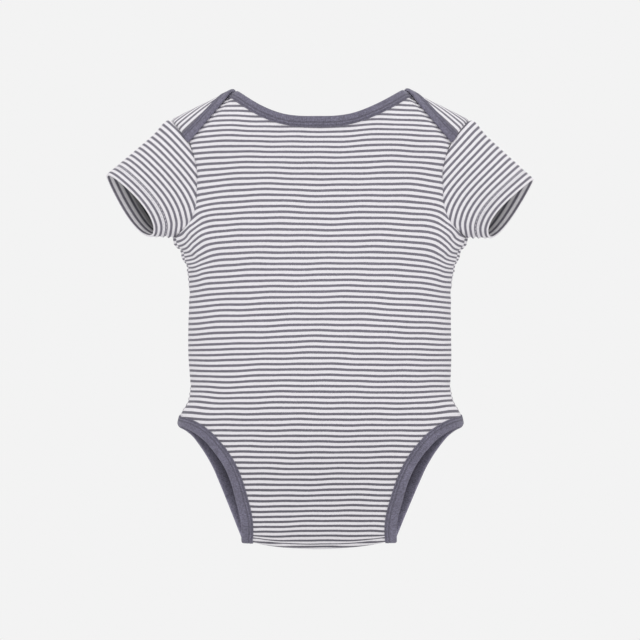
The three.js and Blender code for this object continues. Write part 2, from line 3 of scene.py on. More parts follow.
import bpy
import numpy as np
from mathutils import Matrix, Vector


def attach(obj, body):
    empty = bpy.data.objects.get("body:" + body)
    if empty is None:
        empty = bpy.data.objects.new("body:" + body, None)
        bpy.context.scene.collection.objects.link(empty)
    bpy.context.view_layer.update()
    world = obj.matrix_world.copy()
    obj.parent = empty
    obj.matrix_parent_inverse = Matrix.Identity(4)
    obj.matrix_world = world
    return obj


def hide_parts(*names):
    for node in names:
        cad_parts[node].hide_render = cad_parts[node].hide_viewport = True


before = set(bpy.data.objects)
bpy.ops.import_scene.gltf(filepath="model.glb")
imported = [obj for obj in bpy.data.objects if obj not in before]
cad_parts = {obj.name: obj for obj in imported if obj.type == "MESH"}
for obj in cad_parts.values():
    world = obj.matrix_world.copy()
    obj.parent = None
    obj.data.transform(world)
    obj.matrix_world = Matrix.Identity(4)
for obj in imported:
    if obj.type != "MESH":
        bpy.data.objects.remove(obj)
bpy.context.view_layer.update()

# Lengths are in millimetres until a mesh is made. The surface and its tables are those of the
# part's source. X runs across, Z is up, the back faces -Y and the wearer's left is at -X.
METRE = 0.001


def table(columns, rows):
    """The rows of a table, each as a dictionary of the named columns."""
    names = columns.split()
    return [dict(zip(names, row)) for row in rows]


# Walls and gaps
CLOTH = 0.7
SHELL = 0.65
GAP = 0.1
BINDING_RISE = GAP + CLOTH
LAP_DEPTH = CLOTH + BINDING_RISE + 0.25
CROSSING_DEPTH = BINDING_RISE + 0.1
FLAP_DEPTH = 4.3
LAP_START = 11
SEAM_GAP = 0.12
SEAM_SINK = 0.75
SEAM_REACH = 1.3

# Shoulders
RIDGE_HEIGHT = 19.2
RIDGE_SLOPE = 0.515
RIDGE_ROUNDING = 30
ARCH_HEIGHT = 45
ARCH_RUN = 57
UNDERARM_RUN = 123
SIDE_FULLNESS = 0.25

# Bindings, and how far in from the sewn edge their two rows of stitches run, in grooves
NECK_BINDING = 6.4
STITCH_ROWS = [1.0, 3.1]
GROOVE = 0.34
GROOVE_WIDTH = 0.42

# Stitches, and the radii of their threads
STITCH_LENGTH = 2.3
STITCH_GAP = 0.55
RIB_THREAD = 0.3
HEM_THREAD = 0.26

# The garment is laid by hand: the neckline and the crotch hang to the left, and the neckline is
# higher at the right
NECK_SHIFT = 2.0
NECK_LIFT = 1.3
LOW_SHIFT = 0.8

# Sleeves. Each cuff's row says where it is, how it leans, and how far its near side is set back.
CUFF_HALF_DEPTH = 17
CUFFS = dict(zip((-1, 1), table("across drop half_length slant turn near sag", [
    (137.9, 84.6, 27.3, 36.3, 22, 1.25, 0.4),
    (138.6, 86.8, 26.2, 36.4, 15, 1.5, 0.9),
])))
FAR_CUFF = 0.92
FAR_CUFF_SAG = 0.4
HEM_WIDTH = 12
HEM_WALL = 1.5
HEM_ROUND = HEM_WALL / 2
SLEEVE_STEPS = 22
RIDGE_ROUNDS = 30

# How far from the cuff the two rows of stitches of a hem run
HEM_STITCHES = [HEM_WIDTH - 1.4, HEM_WIDTH - 3.4]

# How far the sleeve's upper side rises near the armhole and past it
HEAD_RISE = 2.2
UPPER_RISE = 0.25

# The first dark stripe's distance from the cuff
SLEEVE_STRIPE = 2.6

# Creases at the sleeve's root: the angle round it, the depth and the width in radians
SLEEVE_CREASES = [
    (-2.55, 1.1, 0.16),
    (-2.15, 0.8, 0.15),
    (-1.75, 0.5, 0.16),
    (2.6, 1.0, 0.16),
    (2.2, 0.7, 0.16),
]

# How finely the source divides half a panel, and how many steps each division has here
HALF_COLUMNS = 12
NECK_COLUMNS = 7
HALF_SHARES = np.arange(HALF_COLUMNS + 1) / HALF_COLUMNS
FINE = 5
EVEN_STEPS = [(i + 1) / FINE for i in range(FINE)]
EDGE_STEPS = [0.3, 0.55, 0.75, 0.87, 0.94, 1.0]

# Painted shade, as how much of the colour is left: on the wrong side, on a binding's wrong side from its rim
# inwards, deep in a sleeve and at its rim, and in a groove of stitches. Over 1 is painted light.
WRONG_SIDE_SHADE = 0.62
RIB_SHADE_AT_RIM = 1.5
RIB_SHADE_INSIDE = 0.45
DEEP_SLEEVE_SHADE = 0.22
RIM_SHADE = 1.05
GROOVE_SHADE = 0.42

# One repeat of the stripes
STRIPE = 4.0
DARK_SHARE = 0.46

# Colours, linear
WHITE_YARN = (0.86, 0.835, 0.875)
DARK_YARN = (0.163, 0.154, 0.188)
SLATE_YARN = (0.158, 0.149, 0.205)
SLATE_THREAD = (0.125, 0.118, 0.16)
WHITE_THREAD = (0.62, 0.60, 0.65)
STEEL = (0.62, 0.63, 0.65)
BACKDROP = (0.896, 0.896, 0.896)

# The camera and the floor, in metres, apart from the lens and its sensor
CAMERA_PLACE = (0, -2.4, -0.16704)
LENS = 187.5
SENSOR = 36
FLOOR_REACH = 8.0
FLOOR_HEIGHT = -0.5

# Lights: name, place, size and power, all aimed at the garment's middle
LIGHT_AIM = (0, 0, -0.16)
LIGHTS = [
    ("key", (-0.7, -2.2, 1.0), 1.6, 7),
    ("fill", (1.0, -2.0, 0.2), 1.6, 4),
    ("far", (0.4, 2.2, 0.9), 1.6, 7),
    ("top", (0.1, -0.7, 1.9), 1.2, 5),
]

BODY = table("drop width back front", [
    (0, 108, 33, 33),
    (45, 108, 33, 34),
    (95, 107.6, 35, 38),
    (111, 105.6, 36, 40),
    (118, 101.8, 36.4, 41),
    (126, 98.2, 36.7, 41.7),
    (136, 96, 37, 42.4),
    (152, 94.4, 37.3, 43.4),
    (190, 94.8, 38, 46),
    (212, 94, 38.4, 45.6),
    (221, 94.6, 38.6, 45),
    (228, 97.4, 38.8, 44.2),
    (235, 100.8, 38.8, 43.2),
    (242, 102.4, 38.4, 42),
    (262, 103, 34.5, 37.5),
    (290, 102.4, 24.5, 27),
    (315, 102, 12.5, 14.8),
    (330, 101, 5.2, 7.6),
    (345, 100, 1, 2),
])

# The edge of both laps, from the corner of the neck to the armhole
LAP_EDGE = table("across over", [
    (63.6, 0),
    (66.5, 10),
    (71, 18.5),
    (78.8, 27.5),
    (95.2, 41.5),
])

# The top edges, from the middle of the neck. over is less than 0 on the panel's own side.
BACK_TOP_EDGE = table("across over", [
    (0, -49.6),
    (23, -46.7),
    (36, -41),
    (48, -32),
    (57, -20.6),
    (61.8, -10),
]) + LAP_EDGE
FRONT_TOP_EDGE = table("across over", [
    (0, -67.5),
    (23, -63),
    (38, -54),
    (48.5, -43),
    (56.5, -29),
    (61, -15),
]) + LAP_EDGE
CORNER_ROW = 6
ARMHOLE = table("over back front", [
    (0, 83.5, 83.5),
    (9, 80.8, 80.8),
    (18, 76.5, 76.5),
    (27, 70.5, 70.5),
    (34.3, 66.3, 66.3),
    (37.9, 64.2, 64.2),
    (41.5, 61.8, 61.8),
    (53, 57, 57),
    (65, 54.7, 54.7),
    (82, 54.8, 54.8),
    (97, 55.9, 56.5),
    (105.5, 58.8, 61.5),
    (112, 64, 70),
    (116.5, 71, 82.5),
    (120, 80, 100),
])
LAP_ROWS = 6
SIDE_SEAM = table("drop lean", [
    (108, 10),
    (115.5, 10),
    (124, 8.5),
    (132, 5),
    (142, 2),
    (156, 0.5),
    (171, 0),
    (186, 0),
    (201, 0),
    (212, 1),
    (220, 3),
    (228, 2.8),
    (235.2, 1.4),
    (238.1, 0.7),
    (241, 0),
])
HIP_ROWS = 2
BACK_LEG = table("across drop band middle", [
    (101, 241.9, 5.8, 238),
    (96.2, 243.4, 6.4, 241.5),
    (90.4, 246, 7, 245.5),
    (82.7, 251.2, 7.3, 251.5),
    (75.8, 258.4, 7.4, 259.5),
    (67.8, 269.4, 7.4, 270.5),
    (62.7, 280.3, 7.4, 281.5),
    (58.5, 294.7, 7.6, 295.5),
    (55.1, 309.3, 7.6, 310.5),
    (54.2, 318, 7.2, 321.5),
    (54.3, 323, 7, 329.4),
])
FRONT_LEG = table("across drop band middle", [
    (101.6, 243.3, 6.2, 238),
    (97.4, 246, 6.8, 242),
    (92.3, 250.2, 7.4, 247),
    (86.4, 257.6, 7.6, 255.5),
    (77.3, 271.9, 7.5, 270.8),
    (71.6, 284.2, 7.4, 283.5),
    (65.6, 298, 7.6, 297.6),
    (60, 311.2, 7.4, 312),
    (54.6, 324.2, 7, 328.4),
])
FLAP = table("across drop band middle", [
    (54.3, 322.6, 7, 329.2),
    (54.6, 315.5, 7, 319.5),
    (55.6, 308, 7.2, 309.5),
    (56.8, 300, 7.4, 300),
])
FOLD_STEPS = 5
UNDERARM_ROW = (len(ARMHOLE) + LAP_ROWS - 1) * FINE
BAND_COLUMNS = 2 * FINE
NECK_CORNER = LAP_EDGE[0]["across"]
LAP_END = LAP_EDGE[-1]["over"]

# The number of the dark stripe that lies at each height in the middle of the back
STRIPE_COUNT = table("drop stripe", [
    (0, -7.4),
    (26.6, 0),
    (44.4, 5),
    (63.4, 10),
    (86.9, 16),
    (103, 20),
    (134.9, 28),
    (166.6, 36),
    (198.2, 44),
    (229.4, 52),
    (260.8, 60),
    (284.2, 66),
    (299.8, 70),
    (314.8, 74),
    (325.8, 77),
    (345, 82.2),
])

# How much lower than in the middle a stripe lies, at these shares of the way to the side
DROOP_SHARES = [0.4, 0.6, 0.78, 0.86, 0.93]
DROOP = table("drop lower", [
    (34, [-1.1, -1.8, -1.0, 0.0, 1.15]),
    (48, [-0.85, -0.95, -0.4, 0.4, 1.3]),
    (63.5, [-0.9, -0.8, 1.0, 2.3, 3.6]),
    (87, [-0.4, 0.5, 2.8, 5.6, 8.4]),
    (98, [-0.2, 0.65, 3.0, 8.2, 13.2]),
    (110, [0.0, 0.85, 2.9, 8.0, 14.4]),
    (119, [0.2, 1.0, 2.6, 6.4, 11.5]),
    (127, [0.22, 0.95, 2.3, 4.4, 7.6]),
    (135, [0.25, 0.9, 2.0, 3.0, 4.9]),
    (158, [0.3, 1.1, 1.95, 2.7, 3.4]),
    (182, [0.7, 1.2, 1.65, 2.15, 2.7]),
    (198, [0.3, 0.8, 1.15, 1.3, 1.5]),
    (214, [0.4, 0.8, 1.15, 0.8, 0.7]),
    (229, [0.35, 0.65, 0.6, 0.0, -0.8]),
    (241, [0.6, 0.7, 0.5, 0.2, 0.0]),
    (256, [0.1, 0.1, 0.1, 0.1, 0.1]),
])

# The stripes of the front's laps: their number at the neck corner, and by the way and across
LAP_STRIPE = -6.6
LAP_BY_RUN = 0.6
SHOULDER_BY_RUN = 0.85
LAP_BY_ACROSS = 0.4

# By how many stripes the front's differ from the back's at the side seams
FRONT_STRIPES = 1.5

# The stripes crowd together where the cloth turns under at the bottom
TURN_UNDER = 0.8
TURN_UNDER_REACH = 1.2

# Creases on the body: a line from (across, drop) to (to_across, to_drop), in the picture of
# each side. depth is inwards, and less than 0 for a ridge.
CREASES = table("across drop to_across to_drop depth width", [
    (101, 107, 76, 116, 0.9, 2.2),
    (103, 113, 79, 124, -0.5, 2),
    (103, 117, 80, 128, 1.1, 2.2),
    (102, 121, 83, 133, -0.45, 2),
    (101, 126, 83, 139, 1, 2.2),
    (99, 133, 85, 149, 0.7, 2.4),
    (97, 141, 87, 159, 0.4, 2.6),
    (90, 96, 70, 106, 0.6, 4),
    (93, 214, 66, 222, 0.6, 4),
    (98, 226, 72, 231, 0.5, 3.4),
    (40, 318, 8, 323, 0.5, 5),
])


def ease(t):
    t = np.clip(t, 0, 1)
    return t * t * (3 - 2 * t)


def bend(span, t, start_slope, end_slope):
    """What the slopes at both ends add to an eased step."""
    return span * t * (1 - t) * ((1 - t) * start_slope - t * end_slope)


def unit(vectors):
    return vectors / np.maximum(np.linalg.norm(vectors, axis=-1, keepdims=True), 1e-9)


def closed(points):
    return np.concatenate([points, points[:1]])


def run_along(points):
    """The way along a line of points, from 0 at its start."""
    return np.concatenate([[0], np.cumsum(np.linalg.norm(np.diff(points, axis=0), axis=-1))])


def runs_across(points):
    """The way along each row of points, from 0 at the row's start."""
    lengths = np.linalg.norm(np.diff(points, axis=1), axis=-1)
    return np.concatenate([np.zeros((len(points), 1)), np.cumsum(lengths, axis=1)], axis=1)


def along_line(at, run, values):
    """Points or directions at some ways along a line."""
    return np.stack([np.interp(at, run, values[:, k]) for k in range(3)], axis=-1)


def quads(*corners):
    return np.stack(corners, axis=-1).reshape(-1, 4)


def face_normals(points, faces):
    corners = points[faces]
    return np.cross(corners[:, 2] - corners[:, 0], corners[:, 3] - corners[:, 1])


def point_normals(points, faces):
    face = face_normals(points, faces)
    normals = np.zeros_like(points)
    for corner in range(4):
        np.add.at(normals, faces[:, corner], face)
    return unit(normals)


def column_of(rows, name):
    return np.array([row[name] for row in rows], float)


def curve_through(rows, key, column):
    """A smooth curve through one column of a table, which never swings past its rows."""
    at = column_of(rows, key)
    value = column_of(rows, column)
    last = len(at) - 1
    rise = np.diff(value) / np.diff(at)
    slope = np.empty(last + 1)
    slope[0] = rise[0]
    slope[last] = rise[-1]
    product = rise[:-1] * rise[1:]
    total = np.where(product > 0, rise[:-1] + rise[1:], 1)
    slope[1:last] = np.where(product > 0, 2 * product / total, 0)

    def curve(where):
        where = np.asarray(where, float)
        i = np.clip(np.searchsorted(at[1:], where, side="left"), 0, last - 1)
        span = at[i + 1] - at[i]
        t = np.clip((where - at[i]) / span, 0, 1)
        far = ease(t)
        return value[i] * (1 - far) + value[i + 1] * far + bend(span, t, slope[i], slope[i + 1])

    return curve


width_at = curve_through(BODY, "drop", "width")
back_at = curve_through(BODY, "drop", "back")
front_at = curve_through(BODY, "drop", "front")
lap_edge_at = curve_through(LAP_EDGE, "over", "across")
stripe_at = curve_through(STRIPE_COUNT, "drop", "stripe")
DROOP_CURVES = [
    curve_through([{"drop": row["drop"], "lower": row["lower"][i]} for row in DROOP], "drop", "lower")
    for i in range(len(DROOP_SHARES))
]


def body_point(turn, over):
    """The body's surface. turn goes round from the middle of the back or front, in radians.
    over is the way from the shoulder ridge, less than 0 down the back and more down the front."""
    turn, over = np.broadcast_arrays(np.asarray(turn, float), np.asarray(over, float))
    run = np.abs(over)
    arch = np.minimum(run / ARCH_RUN, 1) * math.pi / 2
    fall = ARCH_HEIGHT * (1 - np.cos(arch)) + np.maximum(run - ARCH_RUN, 0)
    hold = np.cos(np.minimum(run / UNDERARM_RUN, 1) * math.pi / 2) ** 2
    z = -fall
    for _ in range(4):
        x = width_at(-z) * np.sin(turn)
        reach = np.hypot(x, RIDGE_ROUNDING) - RIDGE_ROUNDING
        z = (RIDGE_HEIGHT - RIDGE_SLOPE * reach) * hold - fall
    facing = np.where(over < 0, -1.0, 1.0)
    round_ = facing * np.cos(turn) * (1 + SIDE_FULLNESS * np.sin(turn) ** 2)
    depth = np.where(round_ < 0, back_at(-z), front_at(-z))
    return np.stack([x, depth * round_ * np.sin(arch), z], axis=-1)


def points_at(places):
    return body_point(places[..., 0], places[..., 1])


def body_slopes(turn, over):
    step = 0.002
    reach = 0.2
    round_ = (body_point(turn + step, over) - body_point(turn - step, over)) / (2 * step)
    along = (body_point(turn, over + reach) - body_point(turn, over - reach)) / (2 * reach)
    return round_, along


def outward_at(turn, over):
    round_, along = body_slopes(turn, over)
    return unit(np.cross(round_, along))


def walked(places, direction, distance):
    """The places reached by walking on the surface, a distance in a direction."""
    steps = 4
    turn, over = places[..., 0].copy(), places[..., 1].copy()
    for _ in range(steps):
        round_, along = body_slopes(turn, over)
        a = np.sum(round_ * round_, axis=-1)
        b = np.sum(round_ * along, axis=-1)
        c = np.sum(along * along, axis=-1)
        p = np.sum(direction * round_, axis=-1)
        q = np.sum(direction * along, axis=-1)
        spread = a * c - b * b
        turn_by = (p * c - q * b) / spread
        over_by = (q * a - p * b) / spread
        moved = np.linalg.norm(round_ * turn_by[..., None] + along * over_by[..., None], axis=-1)
        turn += turn_by * distance / steps / moved
        over += over_by * distance / steps / moved
    return np.stack([turn, over], axis=-1)


def turn_at(across, drop):
    return np.arcsin(np.minimum(across / width_at(drop), 1))


def run_at(drop):
    return drop - ARCH_HEIGHT + ARCH_RUN


def back_lift(turn, over):
    """The back's lap lies under the front's, and deeper where the two bindings cross."""
    across = np.abs(body_point(turn, over)[..., 0])
    lap_edge = np.where(over < 0, lap_edge_at(-over) + np.maximum(-over - LAP_END, 0), 0)
    under = ease((across - lap_edge + LAP_START) / (LAP_START - 2.5))
    crossing = (1 - ease((np.abs(over) - 15) / 10)) * (1 - ease((across - 72) / 10))
    return -LAP_DEPTH * under - CROSSING_DEPTH * crossing * under


# Places are pairs of turn and over, in arrays of rows and columns


def slopes_along(values, lengths):
    rate = np.diff(values, axis=0) / lengths
    slope = np.empty_like(values)
    if len(values) == 2:
        slope[:] = rate[0]
        return slope
    before, after = lengths[:-1], lengths[1:]
    slope[1:-1] = (before * rate[1:] + after * rate[:-1]) / (before + after)
    slope[0] = rate[0] + (rate[0] - rate[1]) * lengths[0] / (lengths[0] + lengths[1])
    slope[-1] = rate[-1] + (rate[-1] - rate[-2]) * lengths[-1] / (lengths[-1] + lengths[-2])
    return slope


def between(values, lengths, steps):
    """Values on smooth curves through the rows, with further rows at each division's steps."""
    slope = slopes_along(values, lengths)
    rows = [values[:1]]
    for i, division in enumerate(steps):
        t = np.asarray(division).reshape((-1,) + (1,) * (values.ndim - 1))
        far = ease(t)
        step = values[i] * (1 - far) + values[i + 1] * far
        rows.append(step + bend(lengths[i], t, slope[i], slope[i + 1]))
    return np.concatenate(rows)


def refined(places, steps):
    points = points_at(places)
    lengths = np.linalg.norm(np.diff(points, axis=0), axis=-1)
    return between(places, np.maximum(lengths, 1e-6)[..., None], steps)


def refined_rows(places):
    return refined(places, [EVEN_STEPS] * (places.shape[0] - 1))


def refined_columns(places, near_edges):
    steps = [EVEN_STEPS] * (places.shape[1] - 1)
    if near_edges:
        steps[0] = [1 - t for t in EDGE_STEPS[-2::-1]] + [1.0]
        steps[-1] = EDGE_STEPS
    return refined(places.swapaxes(0, 1), steps).swapaxes(0, 1)


def whole(half):
    """Whole rows from half rows, which start at the middle."""
    left = half[:, :0:-1].copy()
    left[..., 0] *= -1
    return np.concatenate([left, half], axis=1)


def top_edge_places(edge, side):
    points = np.array([[row["across"], row["over"]] for row in edge], float)
    mirrored = points[:0:-1] * [-1, 1]
    line = np.concatenate([mirrored, points])
    lengths = np.linalg.norm(np.diff(line, axis=0), axis=-1)[:, None]
    parts = 12
    division = [(i + 1) / parts for i in range(parts)]
    dense = between(line, lengths, [division] * (len(line) - 1))[len(mirrored) * parts:]
    run = run_along(dense)
    corner = run[CORNER_ROW * parts]
    places = []
    for i in range(HALF_COLUMNS + 1):
        if i < NECK_COLUMNS:
            at = corner * i / NECK_COLUMNS
        else:
            at = corner + (run[-1] - corner) * (i - NECK_COLUMNS) / (HALF_COLUMNS - NECK_COLUMNS)
        across = np.interp(at, run, dense[:, 0])
        over = np.interp(at, run, dense[:, 1])
        drop = -body_point(0.9, over)[..., 2]
        places.append([float(turn_at(across, drop)), -side * over])
    end = ARMHOLE[LAP_ROWS]
    places[HALF_COLUMNS] = [math.radians(end["back"]), -side * end["over"]]
    return np.array(places)


def seam_place(row, side):
    place = np.array([math.radians(90 + side * row["lean"]), side * run_at(row["drop"])])
    round_, _ = body_slopes(place[0], place[1])
    place[0] -= SEAM_GAP / 2 / np.linalg.norm(round_)
    return place


def armhole_places(side):
    column = "back" if side < 0 else "front"
    lap = ARMHOLE[LAP_ROWS:0:-1]
    far = [[math.radians(row[column]), -side * row["over"]] for row in lap]
    near = [[math.radians(row[column]), side * row["over"]] for row in ARMHOLE]
    near[-1] = list(seam_place(SIDE_SEAM[0], side))
    return np.array(far + near)


def level_row(end):
    """A half row at one height, from the middle to a place at the side."""
    return np.stack([end[0] * HALF_SHARES, np.full_like(HALF_SHARES, end[1])], axis=-1)


def top_rows(side):
    edge = top_edge_places(BACK_TOP_EDGE if side < 0 else FRONT_TOP_EDGE, side)
    seam = armhole_places(side)
    start = np.concatenate([edge[1:2] * [-1, 1], edge[:-1]])
    after = np.concatenate([edge[1:], edge[-1:]])
    along = points_at(after) - points_at(start)
    round_, down = body_slopes(edge[:, 0], edge[:, 1])
    towards_hem = unit(np.cross(np.cross(round_, down), along)) * side
    bound = [edge, walked(edge, towards_hem, NECK_BINDING / 2), walked(edge, towards_hem, NECK_BINDING)]
    for r, row in enumerate(bound):
        row[HALF_COLUMNS] = seam[r]
    underarm = seam[-1]
    level = level_row(underarm)
    rows = list(bound)
    for r in range(3, len(seam)):
        t = (seam[r, 1] - seam[2, 1]) / (underarm[1] - seam[2, 1])
        straight = seam[2, 0] + (underarm[0] - seam[2, 0]) * t
        row = bound[2] * (1 - t) + level * t
        row[:, 0] += (seam[r, 0] - straight) * HALF_SHARES**3
        rows.append(row)
    return np.array(rows)


def side_rows(side):
    return np.array([level_row(seam_place(row, side)) for row in SIDE_SEAM[1:-HIP_ROWS]])


def leg_rows(rows, side, heading, tip=None):
    """Half rows with a leg's edge at their end: the cloth up to its band, then the band."""
    across, drop, widths = (column_of(rows, name) for name in ("across", "drop", "band"))
    edge = np.stack([turn_at(across, drop), side * run_at(drop)], axis=-1)
    line = edge if tip is None else np.concatenate([tip[None], edge])
    before = np.concatenate([line[:1], line[:-1]])
    after = np.concatenate([line[1:], line[-1:]])
    along = points_at(after) - points_at(before)
    if tip is not None:
        along = along[1:]
    round_, down = body_slopes(edge[:, 0], edge[:, 1])
    inward = unit(np.cross(np.cross(round_, down), along)) * heading
    inner = walked(edge, inward, widths)
    middle = walked(edge, inward, widths / 2)
    share = np.arange(HALF_COLUMNS) / HALF_COLUMNS
    low = np.array([side * run_at(row["middle"]) for row in rows])
    lowering = 1 - share**2
    turns = inner[:, :1] * share
    overs = inner[:, 1:] * (1 - lowering) + low[:, None] * lowering
    cloth = np.stack([turns, overs], axis=-1)
    bands = np.stack([inner, middle, edge], axis=1)
    return np.concatenate([cloth, bands], axis=1)


# Stripes, knit and creases


def droop_at(drop, share):
    """How much lower a stripe lies, on a smooth curve through the shares of the way to the side."""
    shares = [0.0, *DROOP_SHARES, 1.05]
    lower = [np.zeros_like(drop), *[curve(drop) for curve in DROOP_CURVES]]
    lower.append(lower[-1] * 1.2)
    rise = [(lower[i + 1] - lower[i]) / (shares[i + 1] - shares[i]) for i in range(len(shares) - 1)]
    slope = [np.zeros_like(drop), *[(rise[i] + rise[i + 1]) / 2 for i in range(len(rise) - 1)], rise[-1]]
    result = np.zeros_like(drop)
    for i in range(len(rise)):
        span = shares[i + 1] - shares[i]
        t = np.clip((share - shares[i]) / span, 0, 1)
        result = result + (lower[i + 1] - lower[i]) * ease(t) + bend(span, t, slope[i], slope[i + 1])
    return result


def stripe_by_height(points):
    drop = -points[..., 2]
    share = np.abs(points[..., 0]) / width_at(drop)
    wave = 0.22 * np.sin(points[..., 0] / 17 + drop / 23) + 0.16 * np.sin(points[..., 0] / 8.3 - drop / 11)
    wave = wave + 0.1 * np.sin(points[..., 0] / 4.1 + drop / 6.5)
    last = BACK_LEG[-1]
    out = points[..., 0] / (last["across"] - last["band"])
    edge = last["middle"] - (last["middle"] - last["drop"]) * out**2
    turned_under = TURN_UNDER * np.exp(-np.maximum(edge - drop, 0) / TURN_UNDER_REACH)
    return stripe_at(drop - droop_at(drop, share) + wave) + turned_under


def stripe_on_lap(points, over):
    across = np.abs(points[..., 0]) - NECK_CORNER
    run = LAP_BY_RUN * np.minimum(over, 0) + SHOULDER_BY_RUN * np.maximum(over, 0)
    return LAP_STRIPE + (run + LAP_BY_ACROSS * across) / STRIPE


def crease_depth(points):
    """How far the cloth sinks at each point, from the creases on its own side."""
    depth = np.zeros(points.shape[:-1])
    for index, crease in enumerate(CREASES):
        for hand in (-1, 1):
            uneven = 1 + 0.22 * math.sin(2.3 * index + 1.7 * hand)
            start = np.array([hand * crease["across"], -crease["drop"] - 1.5 * (uneven - 1)])
            end = np.array([hand * crease["to_across"], -crease["to_drop"]])
            line = end - start
            t = ((points[..., [0, 2]] - start) @ line) / (line @ line)
            nearest = start + np.clip(t, 0, 1)[..., None] * line
            away = np.linalg.norm(points[..., [0, 2]] - nearest, axis=-1)
            fade = ease((t + 0.25) / 0.3) * (1 - ease((t - 0.35) / 0.75))
            depth = depth + crease["depth"] * uneven * fade * np.exp(-((away / crease["width"]) ** 2))
    return depth


def softness(points):
    """Slow swells of the cloth, and the small gathers beside the underarm and at the waist."""
    x, z = points[..., 0], points[..., 2]
    swell = 0.35 * np.sin(x / 21 + z / 34) * np.sin(z / 27 + 0.6)
    swell = swell + 0.2 * np.sin(x / 12.5 - z / 19)
    share = np.abs(x) / width_at(-z)
    by_seam = ease((share - 0.86) / 0.12)
    underarm = ease((-z - 104) / 8) * (1 - ease((-z - 128) / 50))
    waist = ease((-z - 196) / 16) * (1 - ease((-z - 222) / 14))
    gathers = np.sin(2 * math.pi * (z + 0.3 * np.abs(x)) / 3.7) + 0.4 * np.sin(2 * math.pi * z / 5.9 + x)
    return swell + by_seam * (0.3 * underarm + 0.16 * waist) * gathers


# Grids of points, normals and fabric coordinates, with -1 where a shorter row has no point


class Sheet:
    def __init__(self, rows, fabric_rows, side):
        width = max(len(row) for row in rows)
        self.points = np.concatenate(rows)
        self.fabric = np.concatenate(fabric_rows)
        self.index = np.full((len(rows), width), -1)
        count = 0
        for r, row in enumerate(rows):
            pad = (width - len(row)) // 2
            self.index[r, pad:pad + len(row)] = np.arange(count, count + len(row))
            count += len(row)
        grid = self.index
        faces = quads(grid[:-1, :-1], grid[1:, :-1], grid[1:, 1:], grid[:-1, 1:])
        self.faces = faces[(faces >= 0).all(axis=1)]
        self.normals = point_normals(self.points, self.faces)
        if self.normals[:, 1].sum() * side < 0:
            self.faces = self.faces[:, ::-1]
            self.normals = point_normals(self.points, self.faces)


def wall_faces(faces, count):
    """Faces of a closed wall: the outer ones, the inner ones turned round, and the rim."""
    inner = faces[:, ::-1] + count
    edges = np.concatenate([faces[:, [i, (i + 1) % 4]] for i in range(4)])
    keys = {(int(a), int(b)) for a, b in edges}
    rim = [(b, a, a + count, b + count) for a, b in keys if (b, a) not in keys]
    return np.concatenate([faces, inner, np.array(sorted(rim))])


def placed(name, data):
    """An object in the scene, made from a mesh, camera or light."""
    thing = bpy.data.objects.new(name, data)
    bpy.context.scene.collection.objects.link(thing)
    return thing


def new_piece(name, points, faces, fabric, material, sharp=False, shade=None):
    mesh = bpy.data.meshes.new(name)
    mesh.vertices.add(len(points))
    mesh.vertices.foreach_set("co", (points * METRE).astype(np.float32).ravel())
    sizes = np.full(len(faces), faces.shape[1])
    mesh.loops.add(int(sizes.sum()))
    mesh.polygons.add(len(faces))
    mesh.loops.foreach_set("vertex_index", faces.astype(np.int32).ravel())
    starts = np.concatenate([[0], np.cumsum(sizes)[:-1]])
    mesh.polygons.foreach_set("loop_start", starts.astype(np.int32))
    mesh.update(calc_edges=True)
    uv = mesh.uv_layers.new(name="Fabric")
    uv.uv.foreach_set("vector", fabric[faces.ravel()].astype(np.float32).ravel())
    mesh.polygons.foreach_set("use_smooth", np.ones(len(faces), bool))
    # The Shade attribute holds painted shade, a factor on the colour
    painted_shade = mesh.attributes.new("Shade", "FLOAT", "POINT")
    painted_shade.data.foreach_set("value", (np.ones(len(points)) if shade is None else shade).astype(np.float32))
    if sharp:
        mesh.set_sharp_from_angle(angle=math.radians(60))
    mesh.validate()
    piece = placed(name, mesh)
    mesh.materials.append(material)
    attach(piece, "root")
    return piece


def outer_shade(points):
    """Painted shade: the cloth's colour is made a little darker lower down, and darker where it turns under
    at the bottom and gets less light.
    """
    drop = -points[..., 2]
    return 1 - 0.015 * ease((drop - 150) / 110) - 0.1 * ease((drop - 312) / 22)


def wall_piece(name, sheet, material):
    count = len(sheet.points)
    points = np.concatenate([sheet.points, sheet.points - sheet.normals * SHELL])
    faces = wall_faces(sheet.faces, count)
    fabric = np.concatenate([sheet.fabric, sheet.fabric])
    # Painted shade: the outside a little darker towards the bottom, and the whole wrong side darker
    shade = np.concatenate([outer_shade(sheet.points), np.full(count, WRONG_SIDE_SHADE)])
    return new_piece(name, points, faces, fabric, material, sharp=True, shade=shade)


# Panels


def hand_laid(points):
    """The neckline and the crotch hang to the left, and the neckline is higher at the right."""
    x, z = points[..., 0], points[..., 2]
    inside = np.clip(1 - (x / 62) ** 2, 0, 1) ** 2
    near_neck = ease((z + 75) / 40)
    moved = points.copy()
    moved[..., 0] -= NECK_SHIFT * inside * near_neck + LOW_SHIFT * ease((-z - 240) / 80)
    moved[..., 2] += NECK_LIFT * np.exp(-(((x - 44) / 20) ** 2)) * near_neck
    return moved


def panel_points(places, side, sink=None):
    turn, over = places[..., 0], places[..., 1]
    points = body_point(turn, over)
    outward = outward_at(turn, over)
    lift = back_lift(turn, over) if side < 0 else 0
    lift = lift - crease_depth(points) + softness(points) * ease(-points[..., 2] / 60)
    if sink is not None:
        lift = lift - sink
    return hand_laid(points + outward * np.asarray(lift)[..., None])


def seam_sink(places):
    """The cloth turns in at the seams at both ends of its rows."""
    points = points_at(places)
    left = np.linalg.norm(points - points[:, :1], axis=-1)
    right = np.linalg.norm(points - points[:, -1:], axis=-1)
    return SEAM_SINK * np.exp(-((np.minimum(left, right) / SEAM_REACH) ** 2))


def across_fabric(places):
    """The way round the body, in repeats of the stripes."""
    points = points_at(places)
    run = runs_across(points)
    middle = points.shape[1] // 2
    return (run - run[:, middle:middle + 1]) / STRIPE


